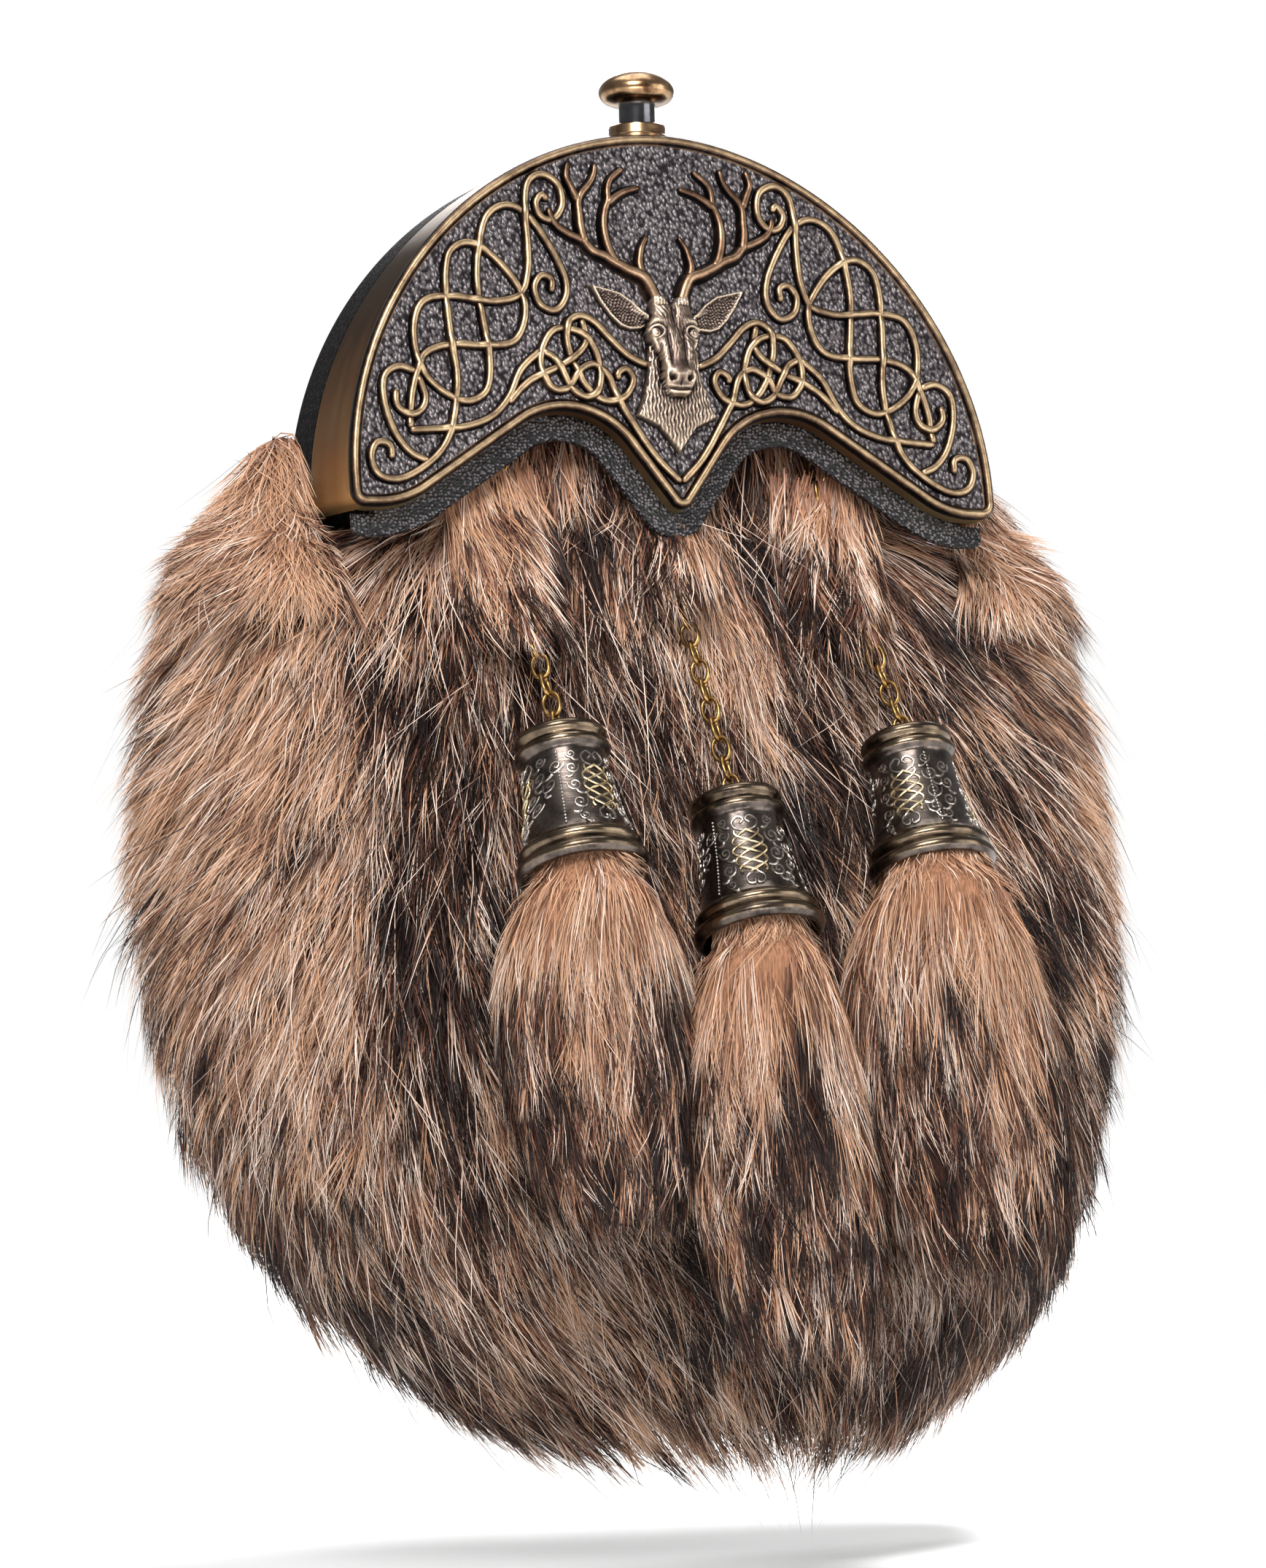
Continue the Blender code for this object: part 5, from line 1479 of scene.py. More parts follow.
@dataclass
class StagHead:
    """Stag's head, neck and ears, cast in relief on the plate as one finely shaped skin."""

    step: float = 0.2
    sunk: float = -0.5
    cut: float = -0.25
    neck_height: float = 2.1
    ear_height: float = 1.25
    soften: int = 110
    hollow: str = "#181416"
    slope: str = "#594a43"
    crest: str = "#b8a692"

    def mirrored(self, half: Rows) -> Array:
        """A closed outline from its right half."""
        left = np.array(half)[::-1] * (-1.0, 1.0)
        return np.vstack((half, left[left[:, 0] < -1e-6]))

    def depth_inside(self, outline: Array, x: Array, z: Array) -> Array:
        """Distance to an outline, positive inside it.

        Args:
            outline: its corners.
            x: places across.
            z: places up.

        Returns:
            The distances.
        """
        near = np.full(x.shape, 1e9)
        inside = np.zeros(x.shape, bool)
        for a, b in zip(outline, np.roll(outline, -1, axis=0)):
            run = b - a
            share = ease((x - a[0]) * run[0] + (z - a[1]) * run[1], 0.0, run @ run)
            near = np.minimum(near, np.hypot(x - a[0] - share * run[0], z - a[1] - share * run[1]))
            crosses = (a[1] > z) != (b[1] > z)
            at = a[0] + (z - a[1]) / (run[1] if abs(run[1]) > 1e-9 else 1e-9) * run[0]
            inside ^= crosses & (x < at)
        return np.where(inside, near, -near)

    def dome(self, depth: Array, height: Array | float, edge: Array | float,
             wide: Array | float) -> Array:
        """Heights that rise from the edge's to the crown's over a distance, and fall away outside."""
        up = np.sqrt(1.0 - (1.0 - ease(depth, 0.0, wide)) ** 2)
        return np.where(depth < 0.0, depth * 2.5, edge * ease(depth, 0.0, 0.45) + (height - edge) * up)

    def strand_lines(self, x: Array, z: Array, fine: float, lean: float) -> Array:
        """Wavy lines of combed hair in the casting.

        Args:
            x: places across.
            z: places up.
            fine: distance between lines.
            lean: how far the lines spread outwards as they fall.

        Returns:
            Heights between -1 and 1.
        """
        spread = x / (1.0 + lean * np.clip(38.0 - z, 0.0, None))
        wave = 0.22 * np.sin(1.3 * z + 0.9 * x) + 0.16 * np.sin(2.9 * z - 1.7 * x)
        lines = np.sin((spread + wave * 0.5) * math.tau / fine)
        breaks = np.sin(2.6 * z + 5.0 * np.sin(1.7 * x)) * 0.5 + 0.5
        return lines * (0.4 + 0.6 * breaks)

    def heights(self, x: Array, z: Array) -> Array:
        """Height of the whole relief over the field.

        Args:
            x: places across.
            z: places up.

        Returns:
            Heights in millimetres.
        """
        neck_in = self.depth_inside(self.mirrored(NECK_OUTLINE), x, z)
        head_in = self.depth_inside(self.mirrored(HEAD_OUTLINE), x, z)
        neck = self.dome(neck_in, self.neck_height, 0.9, 4.0)
        neck += 0.27 * self.strand_lines(x, z, 0.6, 0.012) * (neck_in > 0.35)
        aside = np.abs(x)
        up, edge, wide = np.array(FACE_EDGE).T
        face = self.dome(head_in, np.interp(z, *np.array(FACE_PROFILE).T), np.interp(z, up, edge),
                         np.interp(z, up, wide))
        for across, up, wide, high, rise in FACE_FORMS:
            face += rise * np.exp(-((aside - across) / wide) ** 2 - ((z - up) / high) ** 2)
        face += self.eye(aside, z)
        face -= 0.8 * hill(z - MOUTH_Z - 0.04 * x * x, 0.0, 0.24) * (aside < 3.0)
        brow_hair = ease(z, 27.5, 3.0) * ease(z, 20.0, 16.0)
        cheek = 0.8 * ease(aside, 1.6, 1.2) * (z > 27.5)
        furred = np.maximum(cheek, brow_hair) * (head_in > 0.3) * (np.hypot(
            aside - EYE_SPOT[0], z - EYE_SPOT[1]) > 1.9)
        face += 0.13 * self.strand_lines(x + 0.15 * aside * (z - 36.0), z, 0.56, 0.0) * furred
        face += 0.18 * np.sin(x * math.tau / 0.62) * (z > 39.9) * (aside > 0.9) * (head_in > 0.2)
        face = np.where(head_in < 0.0, -9.0, face)
        return np.maximum(np.maximum(neck, face), self.ears(aside, z))

    def eye(self, aside: Array, z: Array) -> Array:
        """Eyeball, pupil and lids.

        Args:
            aside: distance from the middle of the face.
            z: places up.

        Returns:
            What the eye adds.
        """
        dx, dz = aside - EYE_SPOT[0], z - EYE_SPOT[1]
        slant = dz + 0.22 * dx
        ball = 1.0 * np.clip(1.0 - (dx / 0.95) ** 2 - (dz / 0.9) ** 2, 0.0, None) ** 0.5
        reach = np.hypot(dx / 1.75, slant / np.where(slant > 0.0, 1.35, 1.2))
        lids = np.where(slant > 0.0, 0.5, 0.3) * hill(reach, 1.0, 0.17)
        pupil = -0.25 * np.exp(-(np.hypot(dx, dz) - 0.42) ** 2 / 0.02)
        crease = -0.3 * hill(np.hypot(dx / 2.0, slant / 1.75), 1.0, 0.13)
        return ball + lids + pupil + crease * (slant > 0.2)

    def ears(self, aside: Array, z: Array) -> Array:
        """Leaf-shaped ears with a rim, a fold and hair inside.

        Args:
            aside: distance from the middle of the face.
            z: places up.

        Returns:
            Their heights.
        """
        inside = self.depth_inside(np.array(EAR_OUTLINE), aside, z)
        cup = self.dome(inside, self.ear_height, 0.9, 1.2) - 0.55 * ease(inside, 0.5, 0.7)
        above = ease(z - 37.5 - 0.45 * (aside - 6.0), 0.0, 1.0)
        rim = (0.1 + 0.4 * above) * hill(inside, 0.4, 0.25)
        fold_z = 37.6 + 0.62 * (aside - 5.0)
        fold = 0.65 * hill(z - fold_z, 0.0, 0.55) * ease(-aside, -9.5, 3.0)
        hair = 0.13 * (np.sin((z - 0.3 * aside) * math.tau / 0.66 + 2.4 * np.sin(2.3 * aside))
                       + np.sin((0.7 * z + aside) * math.tau / 0.7 + 2.0 * np.sin(2.1 * z)))
        return np.where(inside < 0.0, inside * 2.5, cup + rim + fold + hair * ease(inside, 0.45, 0.4))

    def build(self, cast: Material) -> None:
        """Make the relief, and store how far each point is rubbed: ridges much, folds not at all.

        Args:
            cast: its finish.
        """
        x, z = np.meshgrid(np.arange(-18.4, 18.41, self.step), np.arange(9.0, 46.4, self.step))
        height = np.maximum(self.heights(x, z), self.sunk)
        top = np.max([height[:-1, :-1], height[:-1, 1:], height[1:, 1:], height[1:, :-1]], axis=0)
        piece, used = add_grid("stag_head", on_plate(x, z, height), top > self.cut, cast,
                               (0, 3, 2, 1))
        share, soft = 0.4, height
        for turn in range(self.soften):
            around = sum(np.roll(soft, shift, axis) for shift in (-1, 1) for axis in (0, 1))
            soft = 0.4 * soft + 0.15 * around
            if turn == 4:
                share = share + 1.7 * (height - soft)
        share = np.clip(share + 0.3 * (height - soft), 0.0, 1.0)
        share = share - 0.16 * ease(np.abs(x), 6.0, 2.0) * (z > 33.0)
        store_colours(piece, "patina", blend(share.ravel()[used], (0.12, 0.48, 0.88),
                                             (self.hollow, self.slope, self.crest)))
        settle(piece)


# Section of the plate's bead: distance in from the outline, height over the field
BEAD = ((0.0, -0.35), (0.0, 0.1), (0.12, 0.45), (0.4, 0.8), (0.7, 1.02), (1.0, 1.1),
        (1.3, 1.02), (1.6, 0.8), (1.85, 0.42), (2.0, 0.12), (2.25, 0.02), (2.7, 0.0))
# Right half of a cord's section: share of its half width, height
CORD_SECTION = ((1.75, -0.75), (1.2, -0.36), (1.0, 0.1), (0.84, 0.5), (0.46, 0.78), (0.0, 0.86))


@dataclass
class Cantle:
    """Cast plate with its edge bead, turned-back lip, side band, woven cords and stag's head."""

    thick: float = 1.8
    wall: float = 1.5
    band_back: float = 25.0
    band_start: float = 65.0
    cord_step: float = 0.6
    cord_half: float = 0.82
    crossing_gap: float = 0.42
    own_stretch: int = 12
    crossing_reach: float = 2.0
    crossing_lift: float = 0.38

    def rear(self, outline: Array, deep: Array, back: float) -> Array:
        """The wall's rear edge: the band's where the outline carries it, and the lip's elsewhere."""
        band = np.stack((outline[:, 0], np.full(len(outline), back), outline[:, 1] * RISE), axis=-1)
        return np.where(deep[:, None], band, on_plate(*outline.T, -LIP_DEPTH))

    def make_plate(self, cast: Material, hammered: Material, band: Material) -> None:
        """The plate with its bead and band, which stands for the CAD node.

        Args:
            cast: finish of the bead.
            hammered: finish of the field.
            band: finish of the wall.
        """
        scallop = scallop_path()
        outline = np.vstack((scallop, arch_path()))
        place = np.arange(len(outline))
        deep = (place == 0) | (place >= len(scallop) - 1) | (np.abs(outline[:, 0]) > self.band_start)
        inner = inset(outline, self.wall)
        loops = [on_plate(*inner.T, -self.thick), self.rear(inner, deep, self.band_back),
                 self.rear(inset(outline, 0.3), deep, self.band_back),
                 self.rear(outline, deep, self.band_back - 0.3), on_plate(*outline.T, -0.9)]
        first = len(loops) - 1
        loops += [on_plate(*inset(outline, distance).T, height) for distance, height in BEAD]
        parts = MeshParts()
        parts.add_loops(np.array(loops))
        plate = parts.build("cantle_plate", band, "cast_brass", 50.0)
        plate.data.materials.append(cast)
        plate.data.materials.append(hammered)
        for face in plate.data.polygons:
            row = min(face.vertices) // len(outline)
            if len(face.vertices) > 4:
                face.material_index = 2 if row > 2 else 0
            elif row >= first:
                face.material_index = 1 if row < first + len(BEAD) - 1 else 2
        settle(plate, "cantle")

    def make_cords(self, cast: Material) -> None:
        """Round cords of the knotwork, which rise and fall where they meet, over and under by turns.

        Args:
            cast: their finish.
        """
        parts = MeshParts()
        paths = {name: smooth_curve(route, self.cord_step) for name, route in KNOT_ROUTES.items()}
        heights = {}
        for name, path in paths.items():
            steps = np.arange(len(path))
            meets = []
            for other, far in paths.items():
                gap = np.linalg.norm(path[:, None] - far[None], axis=-1)
                if other == name:
                    gap[np.abs(steps[:, None] - steps[None]) < self.own_stretch] = math.inf
                close = gap.min(axis=1)
                meets += [i for i in range(2, len(path) - 2)
                          if close[i] < self.crossing_gap and close[i] == close[max(0, i - 5):i + 6].min()
                          and 2 < gap[i].argmin() < len(far) - 3]
            heights[name] = np.zeros(len(path))
            for order, i in enumerate(sorted(meets)):
                run = np.abs(steps - i) * self.cord_step
                rise = np.clip(1.0 - run / self.crossing_reach, 0.0, 1.0)
                sign = 1.0 if order % 2 == 0 else -1.0
                heights[name] += sign * self.crossing_lift * rise * rise * (3 - 2 * rise)
        for mirror in (1.0, -1.0):
            for name, path in paths.items():
                self.add_cord(parts, path * (mirror, 1.0), heights[name])
        settle(parts.build("knotwork_cords", cast, "cast_brass", 60.0))

    def add_cord(self, parts: MeshParts, path: Array, height: Array,
                 widths: Pair = (1.0, 1.0), base: float = 0.34) -> None:
        """One cord with rounded ends on a smooth foot.

        Args:
            parts: mesh under construction.
            path: across and up of its points.
            height: extra height at each point.
            widths: size at its two ends, as a share of the cord's own.
            base: height of the cord's middle over the field.
        """
        run = run_along(path)
        ends = np.minimum(run, run[-1] - run)
        cap = np.sqrt(np.clip(1.0 - np.clip(1.0 - ends / self.cord_half, 0.0, 1.0) ** 2, 0.04, 1.0))
        size = cap * np.interp(run / run[-1], (0.0, 1.0), widths)
        right = np.array(CORD_SECTION) * (self.cord_half, 1.0)
        section = np.vstack((right, right[-2::-1] * (-1.0, 1.0)))
        parts.add_loops(sweep(on_plate(*path.T, base * size + height), section,
                              on_plate(0.0, 0.0, 1.0), size))

    def make_antlers(self, cast: Material) -> None:
        """Antlers in tapering tines.

        Args:
            cast: their finish.
        """
        parts = MeshParts()
        for mirror in (1.0, -1.0):
            for order, (route, root, tip) in enumerate(ANTLER_TINES.values()):
                path = smooth_curve(route, 0.4) * (mirror, 1.0)
                drop = np.full(len(path), -0.02 * order)
                self.add_cord(parts, path, drop, (root / 1.42, tip / 1.3), 0.62)
        settle(parts.build("stag_antlers", cast, "cast_brass", 60.0))

    def build(self) -> None:
        """Make the cantle's finishes and its pieces."""
        # Cast finishes: patina by height, plus a painted highlight on front-facing crests and painted shade
        # on side walls
        cords = CastFinish("antique_brass_cords").make()
        hammered = HammeredFinish().make()
        band = BandFinish().make()
        rubbed = PatinaFinish().make()
        horn = CastFinish("rubbed_brass_painted_highlight_antlers", slope="#553f30", crest="#9a7f66", low=0.2,
                          high=2.4).make()
        self.make_plate(cords, hammered, band)
        self.make_cords(cords)
        self.make_antlers(horn)
        StagHead().build(rubbed)


TURNED_SIDES = 72


def turned(parts: MeshParts, profile: Rows, place: Field, ring: bool = False) -> None:
    """Turn a profile of radius and height about the local Z axis, closed if it is a ring."""
    loops = [np.column_stack((round_section(radius, TURNED_SIDES), np.full(TURNED_SIDES, along)))
             for radius, along in profile]
    parts.add_loops(place(np.array(loops)), ring)


@dataclass
class Plunger:
    """Mushroom knob on its steel stem, and the collar that guides it."""

    centre_y: float = 18.7
    stem_radius: float = 3.6
    bore: float = 4.05

    def stand(self, loops: Array) -> Array:
        """Move turned loops onto the knob's axis."""
        return loops + np.array((0.0, self.centre_y, 0.0))

    def build(self) -> None:
        """Make the knob, the stem and the collar."""
        brass = TurnedFinish("turned_antique_brass", "#4a3220", "#b59470", 0.22, patch_mm=4.0).make()
        steel = TurnedFinish("polished_dark_steel", "#2a2a2c", "#6c6c70", 0.16).make()
        knob = smooth_curve(((0.3, 88.4), (2.4, 88.25), (4.6, 87.6), (6.4, 86.5), (7.4, 85.1),
                             (7.45, 83.8), (6.7, 82.6), (5.4, 81.95), (4.0, 81.7), (0.3, 81.7)), 0.35)
        stem = ((self.stem_radius, 81.75), (self.stem_radius, 70.0))
        collar = ((self.bore, 77.3), (4.3, 77.6), (5.1, 77.6), (5.55, 77.35), (5.7, 76.9),
                  (5.7, 75.7), (5.8, 75.5), (6.0, 75.3), (6.05, 74.6), (self.bore, 74.6))
        for name, profile, material, slot, body, node in (
                ("plunger_knob", knob, brass, "turned_brass", "plunger", "knob"),
                ("plunger_stem", stem, steel, "dark_steel", "plunger", "knob_stem"),
                ("plunger_collar", collar, brass, "turned_brass", "pouch", "knob_collar")):
            parts = MeshParts()
            turned(parts, profile, self.stand, profile is collar)
            settle(parts.build(name, material, slot, 35.0), node, body)


@dataclass
class Apron:
    """Grained leather strip that shows under the plate's scalloped edge."""

    drop: float = 4.8
    rise: float = 6.0
    half_width: float = 65.6
    span: Pair = (4.0, 56.0)
    # Section of the strip: inset of its outline and depth from its front, with rounded cut edges
    section: tuple[Pair, ...] = (
        (0.4, 0.0), (0.12, 0.12), (0.0, 0.4), (0.0, 1.2), (0.12, 1.48), (0.4, 1.6),
    )

    def build(self, leather: Material) -> None:
        """Make the strip.

        Args:
            leather: its finish.
        """
        scallop = scallop_path()
        outline = np.vstack((scallop, arch_path()))
        low = inset(outline, -self.drop)[:len(scallop)]
        low = low[np.abs(low[:, 0]) < self.half_width - 2.0]
        high = inset(outline, self.rise)[:len(scallop)]
        high = high[(np.abs(high[:, 0]) > self.span[0]) & (np.abs(high[:, 0]) < self.span[1])]
        end = low[0, 1]
        right = np.array([(self.half_width - 1.4, end + 0.1), (self.half_width - 0.4, end + 0.6),
                          (self.half_width, end + 1.6), (self.half_width, -1.25), (61.4, -1.25),
                          (60.0, 3.0)])
        ring = np.vstack((low, right, high[::-1], right[::-1] * (-1.0, 1.0)))
        near = LIP_DEPTH + GAP
        parts = MeshParts()
        parts.add_loops(np.array([on_plate(*inset(ring, share).T, -near - back)
                                  for share, back in self.section]))
        settle(parts.build("apron_strip", leather, "black_leather", 50.0), "apron")


# Edge of the back panel on the bag: height, centre across, half width
PANEL_ROWS = (
    (-12, 0, 74.6), (-24, 0, 82.6), (-42, 0, 87.1), (-62, 0.5, 88.6), (-84, 1, 88.1), (-106, 1.5, 84.6),
    (-128, 3.5, 76.6), (-147, 6, 61.6), (-160, 11, 43.6), (-173, 11, 0),
)
PANEL_FOOT = ((67.2, 5.0), (67.6, 2.6))


@dataclass
class BackPanel:
    """Leather back of the bag with the arched gusset that meets the cantle's band."""

    front: float = 36.5
    back: float = 38.5
    gusset: float = 25.35
    thick: float = 2.0
    bevel: float = 0.5

    def build(self, leather: Material) -> None:
        """Make the panel.

        Args:
            leather: what covers it.
        """
        up, middle, half = np.array(PANEL_ROWS).T
        right = np.stack((middle + half, up), axis=-1)
        left = np.stack((middle - half, up), axis=-1)
        foot = np.array(PANEL_FOOT)
        arch = arch_path() * (1.0, RISE)
        shape = np.vstack((left[:-1], right[::-1], foot[::-1], arch, foot * (-1.0, 1.0)))
        start = 2 * len(up) - 1 + len(foot)
        bent = np.zeros(len(shape), bool)
        bent[start - 1:start + len(arch) + 1] = True
        inner, bevelled = inset(shape, self.thick), self.back - self.bevel
        parts = MeshParts()
        # Each loop has one depth over the arch and another one elsewhere
        parts.add_loops(np.array([
            np.stack((edge[:, 0], np.where(bent, arched, rest), edge[:, 1]), axis=-1)
            for edge, arched, rest in (
                (inset(shape, self.bevel), self.back, self.back), (shape, bevelled, bevelled),
                (shape, self.gusset, self.front), (inner, self.gusset, self.front),
                (inner, self.front, self.front))]))
        settle(parts.build("leather_back", leather, "black_leather"), "back_panel")


@dataclass(frozen=True)
class TasselSpot:
    """Where one bell hangs, and how its tassel falls."""

    side: str
    top: Triple
    drop: float
    drift: float
    spread: float
    facing: float
    seam: float


TASSEL_SPOTS = (
    TasselSpot("left", (-34.0, -19.5, -45.0), 62.0, 6.0, 16.0, -74.0, -7.2),
    TasselSpot("middle", (-0.5, -22.5, -57.0), 78.0, 9.0, 15.5, -108.0, -6.6),
    TasselSpot("right", (36.5, -19.5, -45.5), 76.0, 12.0, 18.0, -129.0, 5.0),
)
# Profile of a bell's wall: radius, distance from the top
BELL_PROFILE = (
    (2.6, 0), (7.3, 0), (7.9, 0.15), (8.45, 0.5), (8.75, 1.1), (8.75, 1.6), (8.45, 2.15), (8.05, 2.55),
    (8, 2.75), (8.3, 3.05), (8.85, 3.5), (9.05, 4.1), (8.9, 4.7), (8.4, 5.2), (8, 5.55), (7.95, 6.2),
    (8.1, 8.5), (8.3, 10.5), (8.7, 14), (9.35, 18), (9.95, 21), (10.3, 22.4), (10.6, 22.8), (11.2, 23.2),
    (11.6, 23.8), (11.6, 24.4), (11.25, 24.95), (10.95, 25.25), (11.05, 25.45), (11.8, 25.85),
    (12.3, 26.45), (12.4, 27.1), (12.2, 27.7), (11.7, 28.3), (11.2, 28.6), (10.7, 28.5), (8.9, 20),
    (6.9, 6), (6.4, 1.8), (2.6, 1.8),
)
# Scrolls beside a bell's panel: round from its middle, down, size, way of turning
SCROLL_SPOTS = (
    (4.9, 18.6, 1.5, 1), (5.2, 15, 1.7, -1), (5, 11.2, 1.6, 1), (4.4, 7.9, 1.1, -1), (8.2, 17, 1.5, -1),
    (8.4, 13.2, 1.4, 1), (8, 9.6, 1.5, -1), (7.4, 20.3, 1.1, 1), (-4.4, 10.4, 1.2, -1), (-4.7, 14, 1.3, 1),
    (-4.6, 17.8, 1.4, -1), (-4.1, 7.6, 0.9, 1), (-4.6, 20.9, 0.9, 1),
)
BELL_TILT = math.radians(-23.0)
BELL_LENGTH = 28.6
BELL_RADIUS = 8.7
BELL_BEADS = 22


@dataclass
class Bell:
    """Turned bell with rolled rims, a plaited panel and scrolls, tilted towards the viewer."""

    spot: TasselSpot

    def place(self, points: Array) -> Array:
        """Move points of the bell's own frame, whose -Z runs down its axis, onto the pouch."""
        turn = np.array(Matrix.Rotation(BELL_TILT, 3, "X"))
        return points @ turn.T + np.array(self.spot.top)

    def on_axis(self, down: float) -> Array:
        """The point of the bell's axis at a distance from its top."""
        return self.place(np.array((0.0, 0.0, -down)))

    def radius(self, down: Array) -> Array:
        """The body's outer radius at a distance from the top."""
        return np.interp(down, (5.6, 10.0, 14.0, 18.0, 22.6), (7.95, 8.25, 8.7, 9.35, 10.35))

    def on_body(self, turn: Array, down: Array, height: Array) -> Array:
        """Points over the body.

        Args:
            turn: distance round the body from the panel's middle, in millimetres.
            down: distance from the bell's top.
            height: height over the body.

        Returns:
            Points of the bell's own frame.
        """
        radius = self.radius(down)
        angle = math.radians(self.spot.facing) + turn / radius
        reach = radius + height
        return np.stack((reach * np.cos(angle), reach * np.sin(angle), -down), axis=-1)

    def add_plait(self, parts: MeshParts, middle: float) -> None:
        """One plaited panel.

        Args:
            parts: mesh under construction.
            middle: its place round the body.
        """
        down = np.arange(10.0, 19.2, 0.3)
        wide = 3.1 * np.sin(ease(down, 9.0, 11.2) * math.pi) ** 0.3
        for strand in range(4):
            phase = (down - 10.0) / 8.6 * math.tau + strand * math.pi / 2
            over = 0.1 + 0.16 * np.cos(2 * phase + math.pi * strand)
            self.add_line(parts, middle + wide * np.sin(phase), down, over, 0.25)

    def add_scrolls(self, parts: MeshParts, middle: float) -> None:
        """Crest, curl and leafy scrolls round a panel.

        Args:
            parts: mesh under construction.
            middle: the panel's place round the body.
        """
        crest = smooth_curve(((0.2, 10.2), (1.9, 9.4), (2.3, 8.1), (1.1, 7.1), (0.2, 7.8),
                              (0.9, 8.6)), 0.3)
        curl = smooth_curve(((0.4, 19.0), (1.6, 20.0), (1.4, 21.3), (0.3, 21.5), (0.3, 20.7)), 0.3)
        for side in (-1.0, 1.0):
            for line in (crest, curl):
                self.add_line(parts, middle + side * line[:, 0], line[:, 1], 0.04, 0.22)
        wind = np.linspace(0.4, 3.1 * math.pi, 24)
        grown = (wind / wind[-1]) ** 0.8
        for across, first, size, turns in SCROLL_SPOTS:
            self.add_line(parts, middle + across + turns * size * grown * np.cos(wind),
                          first + size * grown * np.sin(wind), -0.02, 0.21)
            leaf = smooth_curve(((0.0, 0.0), (0.5 * turns, 0.9), (1.3 * turns, 1.3),
                                 (2.1 * turns, 1.0)), 0.4)
            self.add_line(parts, middle + across + leaf[:, 0] * size * 0.6,
                          first + size + leaf[:, 1] * size * 0.5, 0.0, 0.3)

    def add_line(self, parts: MeshParts, turn: Array, down: Array, height: Array | float,
                 radius: float) -> None:
        """Add a raised line on the body through places round it and down it."""
        line = self.on_body(turn, down, height)
        parts.add_loops(self.place(sweep(line, round_section(radius, 6), unit(line * (1.0, 1.0, 0.0)))))

    def build(self, metal: Material, rolled: Material, gilt: Material, pewter: Material) -> None:
        """Make the bell, which is hollow and open below, with its plait, scrolls and beaded seam.

        Args:
            metal: finish of the body.
            rolled: finish of the rims.
            gilt: finish of the plait.
            pewter: finish of the scrolls.
        """
        spot, slot = self.spot, "gunmetal_brass"
        body, plait, scrolls = MeshParts(), MeshParts(), MeshParts()
        turned(body, [(radius, -down) for radius, down in BELL_PROFILE], self.place, True)
        shell = body.build(f"tassel_bell_{spot.side}", metal, slot, 45.0)
        shell.data.materials.append(rolled)
        for face in shell.data.polygons:
            row = min(face.vertices) // TURNED_SIDES
            rim = row < 12 or 21 <= row < 32
            face.material_index = 1 if rim and max(face.vertices) // TURNED_SIDES - row < 2 else 0
        settle(shell, f"bell_{spot.side}")
        for panel in range(3):
            middle = panel * (math.tau * BELL_RADIUS) / 3
            self.add_plait(plait, middle)
            self.add_scrolls(scrolls, middle)
        bm = bmesh.new()
        bmesh.ops.create_icosphere(bm, subdivisions=1, radius=0.3)
        ball = np.array([vert.co[:] for vert in bm.verts])
        faces = [tuple(vert.index for vert in face.verts) for face in bm.faces]
        bm.free()
        for k in range(BELL_BEADS):
            down = 6.8 + k * 14.8 / (BELL_BEADS - 1)
            around = np.array((spot.seam * self.radius(np.array(down)) / BELL_RADIUS,))
            centre = self.place(self.on_body(around, np.array((down,)), np.array((0.0,))))[0]
            scrolls.add(ball + centre, faces)
        settle(plait.build(f"bell_plait_{spot.side}", gilt, slot, 60.0))
        settle(scrolls.build(f"bell_scrolls_{spot.side}", pewter, slot, 60.0))


# Routes of the chains, from behind the apron to just above the bell: across, back, up
CHAIN_ROUTES = {
    "left": (
        (-33.5, 11, 9.2), (-33.5, 8.8, 0), (-33.7, 3.8, -10), (-33.9, -4.2, -22), (-34, -12, -33.5),
    ),
    "middle": (
        (0, 9.6, -0.8), (0, 8.2, -5.6), (-0.1, 5.4, -11.6), (-0.2, 0.4, -20), (-0.4, -7.6, -32),
        (-0.5, -15.6, -45),
    ),
    "right": (
        (33.5, 11, 9.2), (33.5, 8.8, 0), (34.3, 3.8, -10), (35.4, -4.2, -22), (36.2, -12, -34),
    ),
}


